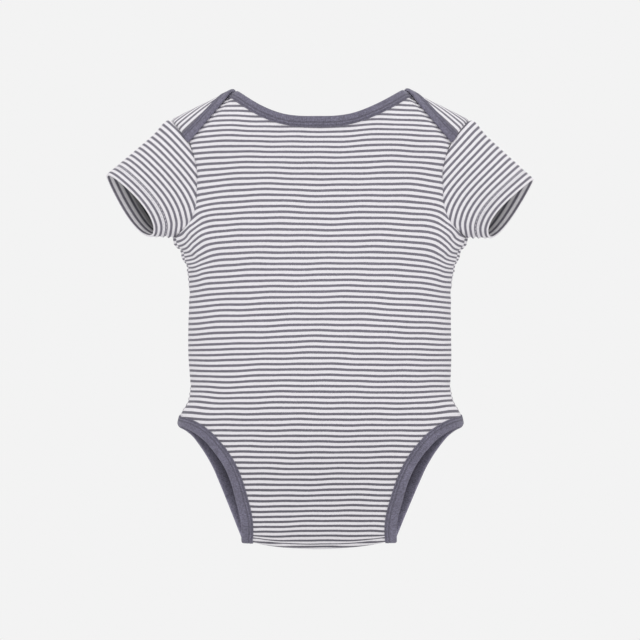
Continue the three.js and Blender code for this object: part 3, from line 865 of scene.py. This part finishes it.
def panel_fabric(places, side):
    points = points_at(places)
    stripe = stripe_by_height(points)
    if side > 0:
        over = places[..., 1]
        by_height = ease((over - 8) / 50)
        stripe = (stripe + FRONT_STRIPES) * by_height + stripe_on_lap(points, over) * (1 - by_height)
    return np.stack([across_fabric(places), stripe], axis=-1)


def fold_between(start, before, end, after):
    """A rounded fold from one row of points to another."""
    steps = FOLD_STEPS * FINE
    handle = np.linalg.norm(end - start, axis=-1, keepdims=True) * 0.5
    first = start + unit(start - before) * handle
    second = end + unit(end - after) * handle
    rows = []
    for step in range(1, steps):
        t = step / steps
        rows.append(
            start * (1 - t) ** 3 + first * 3 * t * (1 - t) ** 2 + second * 3 * t * t * (1 - t) + end * t**3
        )
    return rows


def lower_places(half):
    """Fine whole rows below the hip: the left band, the cloth between, the right band."""
    fine = refined_rows(half)
    main = refined_columns(whole(fine[:, :HALF_COLUMNS + 1]), True)
    band = refined_columns(fine[:, HALF_COLUMNS:], False)[:, 1:]
    left = band[:, ::-1].copy()
    left[..., 0] *= -1
    return np.concatenate([left, main, band], axis=1)


def panel_sheet(side):
    top = top_rows(side)
    sides = side_rows(side)
    upper = np.concatenate([
        refined_rows(whole(top)),
        refined_rows(whole(np.concatenate([top[-1:], sides])))[1:],
    ])
    upper = refined_columns(upper, True)
    hip_tail = np.array([seam_place(row, side) for row in SIDE_SEAM[-HIP_ROWS:]])
    hip = np.concatenate([sides[-1], hip_tail])
    legs = leg_rows(BACK_LEG if side < 0 else FRONT_LEG, side, side, hip[-1])
    lower = lower_places(np.concatenate([hip[None], legs]))
    upper_points = panel_points(upper, side, seam_sink(upper))
    lower_points = panel_points(lower, side)
    rows = [*upper_points[:-1], *lower_points]
    fabric = [*panel_fabric(upper, side)[:-1], *panel_fabric(lower, side)]
    hip_row = len(upper_points) - 1
    rows[hip_row][BAND_COLUMNS:-BAND_COLUMNS] = upper_points[-1]
    if side < 0:
        flap_places = lower_places(leg_rows(FLAP, 1, -1))
        outward = outward_at(flap_places[..., 0], flap_places[..., 1])
        flap = points_at(flap_places) - outward * FLAP_DEPTH
        fold = fold_between(rows[-1], rows[-2], flap[0], flap[1])
        last = fabric[-1]
        previous = rows[-1]
        for row in [*fold, *flap]:
            moved = np.linalg.norm(row - previous, axis=-1)
            last = last + np.stack([np.zeros_like(moved), moved / STRIPE], axis=-1)
            fabric.append(last)
            rows.append(row)
            previous = row
    sheet = Sheet(rows, fabric, side)
    sheet.hip_row = hip_row
    return sheet


# Bindings: folded over an edge, from the inner edge outside, round the cut edge, and inside again


def binding_profile(width):
    """Pairs of the distance from the cut edge and the height over the cloth's outside."""
    top = BINDING_RISE
    under = -CLOTH
    outer = [(width, 0.12), (width - 0.08, top * 0.6), (width - 0.3, top * 0.92), (width - 0.6, top)]
    steps = 22
    for i in range(1, steps):
        outer.append((width - 0.6 - (width - 1.2) * i / steps, top))
    outer += [(0.6, top), (0.1, top - 0.02), (-0.5, top - 0.12), (-1.0, top * 0.55), (-1.3, 0.1)]
    outer += [(-1.4, under / 2), (-1.3, under - 0.1), (-1.0, under - top * 0.55), (-0.5, under - top + 0.12)]
    outer += [(0.1, under - top + 0.02), (width * 0.35, under - top), (width * 0.7, under - top)]
    outer += [(width - 0.3, under - top * 0.92), (width, under - 0.3)]
    inner = [(width, under - 0.08), (width * 0.6, under - 0.1), (0.2, under - 0.1), (-0.3, under)]
    inner += [(-0.4, under / 2), (-0.3, 0.0), (0.2, 0.1), (width * 0.6, 0.1)]
    return outer + inner


def stitch_groove(away, width):
    """The two rows of stitches lie in shallow grooves, and the cloth is full between them."""
    depth = np.zeros_like(away)
    for row in STITCH_ROWS:
        depth = depth + np.exp(-(((away - (width - row)) / GROOVE_WIDTH) ** 2))
    return depth


class Band:
    """The cloth under a binding: stations along it, each with points from the cut edge inwards."""

    def __init__(self, points, normals):
        self.points = points
        self.normals = normals
        self.away = runs_across(points)
        self.width = self.away[:, -1]
        self.out = unit(points[:, 0] - points[:, 1])
        self.run = run_along(points[:, points.shape[1] // 2])

    def at(self, station_share, height):
        """Points at a share of each station's width from the cut edge, at a height."""
        where = np.clip(station_share, 0, 1) * (self.points.shape[1] - 1)
        low = np.minimum(where.astype(int), self.points.shape[1] - 2)
        t = (where - low)[:, None]
        rows = np.arange(len(self.points))
        point = self.points[rows, low] * (1 - t) + self.points[rows, low + 1] * t
        normal = unit(self.normals[rows, low] * (1 - t) + self.normals[rows, low + 1] * t)
        beyond = np.maximum(-station_share, 0)[:, None] * self.width[:, None]
        return point + normal * height[:, None] + self.out * beyond, normal


def binding_piece(name, band, material):
    mean = float(band.width.mean())
    profile = binding_profile(mean)
    ring = []
    across = []
    shades = []
    for distance, height in profile:
        share = np.full(len(band.points), distance / mean)
        away = share * band.width
        lift = np.full(len(band.points), float(height))
        # Painted light and shade on a binding's wrong side: brighter than its colour at the rim, darker
        # further in
        inside = RIB_SHADE_AT_RIM - (RIB_SHADE_AT_RIM - RIB_SHADE_INSIDE) * distance / mean
        shade = np.full(len(band.points), 1.0 if height > -CLOTH else inside)
        if height > BINDING_RISE - 0.05:
            groove = stitch_groove(away, band.width) if distance > 0.2 else 0.0
            ripple = 0.05 * np.sin(band.run / 2.7) + 0.04 * np.sin(band.run / 1.3 + distance)
            lift = lift - GROOVE * groove + ripple
            # Painted shade in the grooves of the stitches
            shade = shade * (1 - GROOVE_SHADE * groove)
        points, _ = band.at(share, lift)
        ring.append(points)
        across.append(away)
        shades.append(shade)
    grid = np.stack(ring, axis=1)
    stations, loop = grid.shape[:2]
    index = np.arange(stations * loop).reshape(stations, loop)
    nxt = np.roll(index, -1, axis=1)
    faces = quads(index[:-1], nxt[:-1], nxt[1:], index[1:])
    half = loop // 2
    caps = []
    for row, turned in ((index[0], False), (index[-1], True)):
        for i in range(half - 1):
            quad = [row[i], row[i + 1], row[loop - 2 - i], row[loop - 1 - i]]
            caps.append(quad[::-1] if turned else quad)
    fabric = np.stack([np.repeat(band.run[:, None], loop, axis=1), np.stack(across, axis=1)], axis=-1)
    points = grid.reshape(-1, 3)
    faces = np.concatenate([faces, np.array(caps)])
    checked = faces[:len(points)]
    centre = np.repeat(grid.mean(axis=1), loop, axis=0)
    from_centre = points[checked].mean(axis=1) - centre[checked[:, 0]]
    if np.median(np.sum(face_normals(points, checked) * from_centre, axis=-1)) < 0:
        faces = faces[:, ::-1]
    shade = np.stack(shades, axis=1).reshape(-1)
    return new_piece(name, points, faces, fabric.reshape(-1, 2) / STRIPE, material, shade=shade)


def neck_band(sheet):
    rows = sheet.index[:BAND_COLUMNS + 1]
    columns = rows[0] >= 0
    grid = rows[:, columns].T
    return Band(sheet.points[grid], sheet.normals[grid])


def leg_band(back, front, side):
    def stations(sheet):
        rows = sheet.index[sheet.hip_row:]
        if side < 0:
            return rows[:, :BAND_COLUMNS + 1]
        return rows[:, ::-1][:, :BAND_COLUMNS + 1]

    behind = stations(back)
    before = stations(front)
    hip_points = (back.points[behind[0]] + front.points[before[0]]) / 2
    hip_normals = unit(back.normals[behind[0]] + front.normals[before[0]])
    points = np.concatenate([back.points[behind[:0:-1]], hip_points[None], front.points[before[1:]]])
    normals = np.concatenate([back.normals[behind[:0:-1]], hip_normals[None], front.normals[before[1:]]])
    return Band(points, normals)


# Stitches


def stitch_rows_piece(name, rows, radius, material):
    """Short rounded threads laid along lines. Each line is (points, normals)."""
    around, along = 6, 5
    pitch = STITCH_LENGTH + STITCH_GAP
    shares = np.linspace(0, 1, along)
    angles = np.arange(around) * 2 * math.pi / around
    swell = np.sin(np.linspace(0.12, 0.88, along) * math.pi)
    dip = ((1 - swell) * radius * 0.9)[:, None, None]
    wide = np.cos(angles)[None, :, None] * radius * swell[:, None, None]
    high = np.sin(angles)[None, :, None] * radius * 0.8 * swell[:, None, None]
    index = np.arange(along * around).reshape(along, around)
    nxt = np.roll(index, -1, axis=1)
    first, last = index[0], index[-1]
    ends = [first[[0, 1, 2, 3]], first[[0, 3, 4, 5]], last[[3, 2, 1, 0]], last[[5, 4, 3, 0]]]
    faces = np.concatenate([quads(index[:-1], index[1:], nxt[1:], nxt[:-1]), ends])
    twist = np.repeat(shares, around)
    all_points, all_faces, all_fabric = [], [], []
    count = 0
    for line, normals in rows:
        run = run_along(line)
        for i in range(int(run[-1] // pitch)):
            start = (i + 0.5) * pitch - STITCH_LENGTH / 2
            at = start + STITCH_LENGTH * shares
            centre = along_line(at, run, line)
            up = unit(along_line(at, run, normals))
            aside = unit(np.cross(unit(np.gradient(centre, axis=0)), up))
            ring = centre[:, None] - up[:, None] * dip + aside[:, None] * wide + up[:, None] * high
            all_points.append(ring.reshape(-1, 3))
            all_faces.append(faces + count)
            all_fabric.append(np.stack([twist + i, np.tile(angles / math.pi, along)], axis=-1))
            count += index.size
    points, faces, fabric = (np.concatenate(parts) for parts in (all_points, all_faces, all_fabric))
    return new_piece(name, points, faces, fabric, material)


def band_stitches(band):
    lines = []
    for row in STITCH_ROWS:
        share = (band.width - row) / band.width
        points, normals = band.at(share, np.full(len(band.points), BINDING_RISE - 0.2))
        lines.append((points, normals))
    return lines


# Sleeves


def armhole_ring(back, front, side):
    """Points round the armhole, up the back and down the front, and where the ridge is in them."""
    points = []
    first_back = (2 * LAP_ROWS) * FINE + 4
    for sheet, rows in (
        (back, range(UNDERARM_ROW, first_back - 1, -1)),
        (front, range(UNDERARM_ROW)),
    ):
        for row in rows:
            columns = np.nonzero(sheet.index[row] >= 0)[0]
            column = columns[0] if side < 0 else columns[-1]
            points.append(sheet.points[sheet.index[row, column]])
    return np.array(points), UNDERARM_ROW - first_back + 1 + LAP_ROWS * FINE


def cuff_points(side, angle):
    """Round the cuff's opening, an oval whose near side is set back towards the body."""
    cuff = CUFFS[side]
    slant, turn = math.radians(cuff["slant"]), math.radians(cuff["turn"])
    up = np.array([side * math.sin(slant), 0, math.cos(slant)])
    out = np.array([side * math.cos(slant), 0, -math.sin(slant)])
    centre = np.array([side * cuff["across"], 0, -cuff["drop"]])
    points = centre + up * (cuff["half_length"] * np.cos(angle))[:, None]
    points = points + np.array([0, math.cos(turn), 0]) * (CUFF_HALF_DEPTH * np.sin(angle))[:, None]
    far = FAR_CUFF - FAR_CUFF_SAG * np.cos(angle)
    set_back = np.where(np.sin(angle) < 0, cuff["near"] - cuff["sag"] * np.cos(angle), far)
    return points + out * (math.sin(turn) * CUFF_HALF_DEPTH * np.sin(angle) * set_back)[:, None]


def cuff_angles(points, ridge):
    run = run_along(closed(points))
    whole_run = run[-1]
    rising = -math.pi * (1 - run[:ridge + 1] / run[ridge])
    falling = math.pi * (run[ridge + 1:-1] - run[ridge]) / (whole_run - run[ridge])
    return np.concatenate([rising, falling])


def sleeve_rings(back, front, side):
    """The sleeve's outside: a ring of points for each step from the armhole to the cuff."""
    seam, ridge = armhole_ring(back, front, side)
    angles = cuff_angles(seam, ridge)
    cuff = cuff_points(side, angles)
    out = unit(cuff - seam)
    root = seam + out * SEAM_GAP
    length = np.linalg.norm(cuff - root, axis=-1)
    shares = [0.0, 0.012, 0.03, 0.06]
    shares += [0.06 + 0.94 * (i + 1) / SLEEVE_STEPS for i in range(SLEEVE_STEPS)]
    body = [root + out * ((length - HEM_WIDTH) * share)[:, None] for share in shares]
    hem = [cuff - out * (HEM_WIDTH - at) for at in (0.5, 1.0, 2.2, 3.6, 5.2, 7, 9, 10.5)]
    tip = [cuff - out * back_by for back_by in (1.0, 0.7, 0.42, 0.2, 0.05, 0.0)]
    rings = np.stack([*body, *hem, *tip])
    from_cuff = np.stack([np.linalg.norm(ring - cuff, axis=-1) for ring in rings])
    return rings, from_cuff, angles


def rounded_ridge(normals, angles):
    """Turns the normals gradually over the fold at the shoulder, where the stations lie close."""
    at_ridge = np.exp(-((angles / 0.3) ** 2))[None, :, None]
    smooth = normals
    for _ in range(RIDGE_ROUNDS):
        around = np.roll(smooth, 1, axis=1) + np.roll(smooth, -1, axis=1)
        smooth = unit(smooth + at_ridge * around)
    return smooth


def sleeve_piece(name, back, front, side, material):
    rings, from_cuff, angles = sleeve_rings(back, front, side)
    steps, stations = rings.shape[:2]
    index = np.arange(steps * stations).reshape(steps, stations)
    nxt = np.roll(index, -1, axis=1)
    faces = quads(index[:-1], nxt[:-1], nxt[1:], index[1:])
    normals = point_normals(rings.reshape(-1, 3), faces).reshape(rings.shape)
    centre = rings.mean(axis=1, keepdims=True)
    turned = np.sum(normals * (rings - centre)) < 0
    if turned:
        normals = -normals
    normals = rounded_ridge(normals, angles)
    length = from_cuff[0]
    away = length - from_cuff
    under = np.exp(-((np.abs(np.abs(angles) - math.pi) / 0.55) ** 2))
    fold = np.zeros(rings.shape[:2])
    for at, depth, width in SLEEVE_CREASES:
        hollow = depth * np.exp(-(((angles - at)[None, :] / width) ** 2))
        fold += hollow * np.exp(-away / 16) * ease(away / 2)
    pucker = 0.7 * under[None, :] * np.sin(2 * math.pi * from_cuff / 4.3)
    pucker = pucker * ease(away / 6) * ease(from_cuff / 3)
    sink = SEAM_SINK * np.exp(-((away / SEAM_REACH) ** 2))
    head = np.exp(-((angles / 0.75) ** 2))[None, :] * ease(away / 2)
    rise = HEAD_RISE * np.exp(-(((away - 4) / 8) ** 2)) + UPPER_RISE * np.exp(-(((away - 18) / 14) ** 2))
    outer = rings + normals * (pucker + head * rise - fold - sink)[..., None]
    rounding = HEM_ROUND - np.sqrt(np.maximum(HEM_ROUND**2 - (HEM_ROUND - from_cuff) ** 2, 0))
    inset = np.where(from_cuff < HEM_ROUND, rounding, 0)
    hem_line = np.exp(-(((from_cuff - HEM_WIDTH + 1.4) / 0.6) ** 2)) * 0.3
    in_hem = ease((HEM_WIDTH - from_cuff + 0.3) / 0.6)
    thickness = SHELL + (HEM_WALL - SHELL) * in_hem
    outside = outer - normals * (inset + hem_line)[..., None]
    inside = outer - normals * (thickness - inset)[..., None]
    loop = np.concatenate([outside, inside[::-1][1:]])
    total = len(loop)
    grid = np.arange(total * stations).reshape(total, stations)
    grid_up = np.roll(grid, -1, axis=0)
    skin = quads(grid, np.roll(grid, -1, axis=1), np.roll(grid_up, -1, axis=1), grid_up)
    if turned:
        skin = skin[:, ::-1]
    run = run_along(closed(rings[steps // 2]))[:-1]
    inner = from_cuff[::-1][1:]
    turned_in = np.where(inner < HEM_WIDTH, -inner, inner - 2 * HEM_WIDTH)
    stripe = np.concatenate([from_cuff, turned_in]) - SLEEVE_STRIPE
    fabric = np.stack([np.broadcast_to(run, stripe.shape), stripe], axis=-1) / STRIPE
    depth_in = np.concatenate([np.full(from_cuff.shape, -1.0), inner])
    # Painted shade inside the sleeve: a little painted light at the rim, darker deeper in
    inside_shade = RIM_SHADE - (RIM_SHADE - DEEP_SLEEVE_SHADE) * ease((depth_in - 1) / 14)
    shade = np.where(depth_in < 0, 1.0, inside_shade).reshape(-1)
    piece = new_piece(name, loop.reshape(-1, 3), skin, fabric.reshape(-1, 2), material, shade=shade)
    return piece, [stitch_ring(outside, normals, from_cuff, inward) for inward in HEM_STITCHES]


def stitch_ring(outside, normals, from_cuff, inward):
    """A line of points and normals round the sleeve, at one distance from the cuff."""
    order = np.argsort(from_cuff[:, 0])
    points, ups = (
        closed(np.array([
            along_line(inward, from_cuff[order, station], values[order, station])
            for station in range(outside.shape[1])
        ]))
        for values in (outside, normals)
    )
    ups = unit(ups)
    return points + ups * 0.12, ups


# Materials


class Nodes:
    def __init__(self, name):
        self.material = bpy.data.materials.new(name)
        self.material.use_nodes = True
        self.tree = self.material.node_tree
        self.shader = self.tree.nodes["Principled BSDF"]

    def link(self, source, target):
        self.tree.links.new(source, target)

    def put(self, value, socket):
        """Links a socket to another node's output, or sets it to a number or a colour."""
        if hasattr(value, "links"):
            self.link(value, socket)
        elif isinstance(value, tuple):
            socket.default_value = (*value, 1.0)
        else:
            socket.default_value = value

    def add(self, kind, **inputs):
        node = self.tree.nodes.new(kind)
        for key, value in inputs.items():
            self.put(value, node.inputs[key])
        return node

    def math(self, operation, *values):
        node = self.tree.nodes.new("ShaderNodeMath")
        node.operation = operation
        for socket, value in zip(node.inputs, values):
            self.put(value, socket)
        return node.outputs[0]

    def plus(self, first, second):
        return self.math("ADD", first, second)

    def times(self, first, second):
        return self.math("MULTIPLY", first, second)

    def less_half(self, value):
        return self.math("SUBTRACT", value, 0.5)

    def place(self):
        return self.tree.nodes.new("ShaderNodeTexCoord").outputs["Object"]

    def noise(self, vector, scale, detail=2.0, roughness=0.5):
        node = self.add("ShaderNodeTexNoise", Scale=scale, Detail=detail, Roughness=roughness)
        self.link(vector, node.inputs["Vector"])
        return node.outputs["Fac"]

    def ramp(self, value, low, high, to_low=0.0, to_high=1.0):
        node = self.tree.nodes.new("ShaderNodeMapRange")
        node.interpolation_type = "SMOOTHSTEP"
        self.link(value, node.inputs["Value"])
        for key, number in (("From Min", low), ("From Max", high), ("To Min", to_low), ("To Max", to_high)):
            node.inputs[key].default_value = number
        return node.outputs["Result"]

    def mix(self, factor, first, second, blend="MIX"):
        node = self.tree.nodes.new("ShaderNodeMix")
        node.data_type = "RGBA"
        node.blend_type = blend
        for value, number in ((factor, 0), (first, 6), (second, 7)):
            self.put(value, node.inputs[number])
        return node.outputs[2]

    def mottled(self, value, low, high, colour, dark, pale):
        """The colour made darker where the value is low and paler where it is high."""
        shades = (tuple(part * by for part in colour) for by in (dark, pale))
        return self.mix(self.ramp(value, low, high), *shades)

    def scaled(self, colour, value):
        """The colour times a value."""
        grey = self.tree.nodes.new("ShaderNodeCombineColor")
        for socket in grey.inputs[:3]:
            self.link(value, socket)
        return self.mix(1.0, colour, grey.outputs[0], "MULTIPLY")

    def colour(self, colour, fine=None):
        """Gives the surface a colour, where fine is given times that and the mesh's painted shade (its Shade
        attribute).
        """
        if fine is not None:
            attribute = self.tree.nodes.new("ShaderNodeAttribute")
            attribute.attribute_name = "Shade"
            colour = self.scaled(colour, self.times(attribute.outputs["Fac"], fine))
        self.link(colour, self.shader.inputs["Base Color"])

    def fabric_uv(self):
        """The fabric coordinates together, and the two by themselves."""
        node = self.tree.nodes.new("ShaderNodeUVMap")
        node.uv_map = "Fabric"
        split = self.tree.nodes.new("ShaderNodeSeparateXYZ")
        self.link(node.outputs[0], split.inputs[0])
        return node.outputs[0], split.outputs[0], split.outputs[1]

    def knit_height(self, u, v, wales, courses):
        """Columns of V-shaped stitches, as on the face of plain jersey."""
        column = self.math("FRACT", self.times(u, wales))
        off = self.math("ABSOLUTE", self.less_half(column))
        slanted = self.plus(self.times(v, courses), self.times(off, 1.3))
        wave = self.math("SINE", self.times(slanted, 2 * math.pi))
        leg = self.math("SINE", self.times(column, 2 * math.pi))
        rounded = self.math("ABSOLUTE", leg)
        return self.times(rounded, self.plus(self.times(wave, 0.35), 0.65))

    def bump(self, height, strength, distance):
        node = self.add("ShaderNodeBump", Strength=strength, Distance=distance)
        self.link(height, node.inputs["Height"])
        self.link(node.outputs[0], self.shader.inputs["Normal"])

    def finish(self, roughness, sheen, sheen_roughness, metallic=0.0):
        self.shader.inputs["Roughness"].default_value = roughness
        self.shader.inputs["Metallic"].default_value = metallic
        self.shader.inputs["Sheen Weight"].default_value = sheen
        self.shader.inputs["Sheen Roughness"].default_value = sheen_roughness
        return self.material


def striped_jersey():
    nodes = Nodes("striped jersey")
    uv, u, v = nodes.fabric_uv()
    place = nodes.place()
    wales, courses = 6.0, 8.0
    wobble = nodes.times(nodes.less_half(nodes.noise(uv, 5.0)), 0.09)
    fuzz = nodes.times(nodes.less_half(nodes.noise(place, 2600.0, 3.0)), 0.10)
    column = nodes.math("FRACT", nodes.times(u, wales))
    tooth = nodes.times(nodes.math("ABSOLUTE", nodes.less_half(column)), 0.12)
    bent = nodes.plus(nodes.plus(v, wobble), nodes.plus(fuzz, tooth))
    cycle = nodes.math("FRACT", nodes.plus(bent, 0.47))
    away = nodes.math("ABSOLUTE", nodes.less_half(cycle))
    white = nodes.ramp(away, DARK_SHARE / 2 - 0.025, DARK_SHARE / 2 + 0.025)
    heather = nodes.noise(place, 900.0, 4.0, 0.7)
    # Painted shade: the dark stripes are darker towards the bottom and paler towards the top
    height_split = nodes.tree.nodes.new("ShaderNodeSeparateXYZ")
    nodes.link(place, height_split.inputs[0])
    painted_shade_by_height = nodes.ramp(height_split.outputs[2], -0.33, -0.14, 0.8, 1.12)
    dark = nodes.scaled(nodes.mottled(heather, 0.3, 0.7, DARK_YARN, 0.82, 1.22), painted_shade_by_height)
    pale = nodes.mottled(heather, 0.3, 0.7, WHITE_YARN, 0.97, 1.03)
    knit = nodes.knit_height(u, v, wales, courses)
    # The stripes are the yarn's own colour; the knit's relief is painted on as painted shade in its hollows
    # and slight painted light on its loops
    nodes.colour(nodes.mix(white, dark, pale), nodes.ramp(knit, 0.0, 0.9, 0.90, 1.03))
    nap = nodes.noise(place, 1500.0, 3.0)
    nodes.bump(nodes.plus(knit, nodes.times(nap, 0.5)), 0.45, 0.00022)
    return nodes.finish(0.88, 0.12, 0.45)


def slate_rib():
    nodes = Nodes("slate rib")
    _, u, v = nodes.fabric_uv()
    place = nodes.place()
    wales, courses = 3.0, 6.0
    heather = nodes.noise(place, 900.0, 5.0, 0.75)
    patch = nodes.ramp(nodes.noise(place, 90.0, 2.0), 0.3, 0.7, 0.93, 1.07)
    # The patches are the yarn's own uneven tone; the wales are painted shade between the ribs and painted
    # light on them
    painted_wale_shade = nodes.ramp(nodes.math("SINE", nodes.times(u, 2 * math.pi * wales)), -1.0, 1.0, 0.9, 1.06)
    nodes.colour(nodes.mottled(heather, 0.32, 0.68, SLATE_YARN, 0.62, 1.42), nodes.times(patch, painted_wale_shade))
    knit = nodes.knit_height(u, v, wales, courses)
    nodes.bump(nodes.plus(knit, nodes.times(heather, 0.6)), 0.6, 0.0003)
    return nodes.finish(0.9, 0.15, 0.4)


def sewing_thread(name, colour):
    nodes = Nodes(name)
    _, u, v = nodes.fabric_uv()
    turns = nodes.plus(nodes.times(u, 5.0), v)
    twist = nodes.math("SINE", nodes.times(turns, 2 * math.pi))
    # Painted shade and light along the twist of the thread
    nodes.colour(nodes.mottled(twist, -1.0, 1.0, colour, 0.82, 1.12))
    nodes.bump(nodes.ramp(twist, -1.0, 1.0), 0.4, 0.00006)
    return nodes.finish(0.6, 0.1, 0.3)


def brushed_steel():
    nodes = Nodes("brushed steel")
    grain = nodes.noise(nodes.place(), 1800.0, 4.0, 0.6)
    nodes.colour(nodes.mottled(grain, 0.3, 0.7, STEEL, 0.9, 1.08))
    nodes.bump(grain, 0.2, 0.00004)
    return nodes.finish(0.32, 0.0, 0.3, metallic=1.0)


# The camera and light


def set_camera():
    data = bpy.data.cameras.new("camera")
    data.lens = LENS
    data.sensor_width = SENSOR
    data.clip_start = 0.05
    data.clip_end = 50
    camera = placed("camera", data)
    camera.location = CAMERA_PLACE
    camera.rotation_euler = (math.pi / 2, 0, 0)
    bpy.context.scene.camera = camera


def area_light(name, place, size, power):
    data = bpy.data.lights.new(name, "AREA")
    data.shape = "DISK"
    data.size = size
    data.energy = power
    light = placed(name, data)
    light.location = place
    light.rotation_euler = (Vector(LIGHT_AIM) - Vector(place)).to_track_quat("-Z", "Y").to_euler()


def set_light():
    world = bpy.data.worlds.new("studio")
    bpy.context.scene.world = world
    world.use_nodes = True
    background = world.node_tree.nodes["Background"]
    background.inputs["Color"].default_value = (*BACKDROP, 1)
    background.inputs["Strength"].default_value = 1.0
    bpy.context.scene.view_settings.view_transform = "Standard"
    for name, place, size, power in LIGHTS:
        area_light(name, place, size, power)


def make_floor():
    nodes = Nodes("pale floor")
    tree = nodes.tree
    glow = tree.nodes.new("ShaderNodeEmission")
    glow.inputs["Color"].default_value = (*BACKDROP, 1)
    tree.links.new(glow.outputs[0], tree.nodes["Material Output"].inputs["Surface"])
    mesh = bpy.data.meshes.new("floor")
    signs = ((-1, -1), (1, -1), (1, 1), (-1, 1))
    corners = [(x * FLOOR_REACH, y * FLOOR_REACH, FLOOR_HEIGHT) for x, y in signs]
    mesh.from_pydata(corners, [], [(0, 1, 2, 3)])
    mesh.materials.append(nodes.material)
    floor = placed("floor", mesh)


set_camera()
set_light()
make_floor()

jersey = striped_jersey()
slate = slate_rib()
steel = brushed_steel()
slate_thread = sewing_thread("slate thread", SLATE_THREAD)
white_thread = sewing_thread("white thread", WHITE_THREAD)

back = panel_sheet(-1)
front = panel_sheet(1)
back_cloth = wall_piece("back", back, jersey)
front_cloth = wall_piece("front", front, jersey)
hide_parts("back_panel")
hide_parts("front_panel")
bands = {
    "neck_binding_back": neck_band(back),
    "neck_binding_front": neck_band(front),
    "leg_binding_left": leg_band(back, front, -1),
    "leg_binding_right": leg_band(back, front, 1),
}
for node, band in bands.items():
    binding = binding_piece(node.replace("_binding", "_rib"), band, slate)
    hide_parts(node)
    name = node.replace("_binding", "_stitches")
    stitches = stitch_rows_piece(name, band_stitches(band), RIB_THREAD, slate_thread)
for word, side in (("left", -1), ("right", 1)):
    sleeve, lines = sleeve_piece(f"{word}_sleeve", back, front, side, jersey)
    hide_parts(f"sleeve_{word}")
    stitches = stitch_rows_piece(f"{word}_hem_stitches", lines, HEM_THREAD, white_thread)

for name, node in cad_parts.items():
    if name.startswith("snap_"):
        node.data.materials.clear()
        node.data.materials.append(steel)
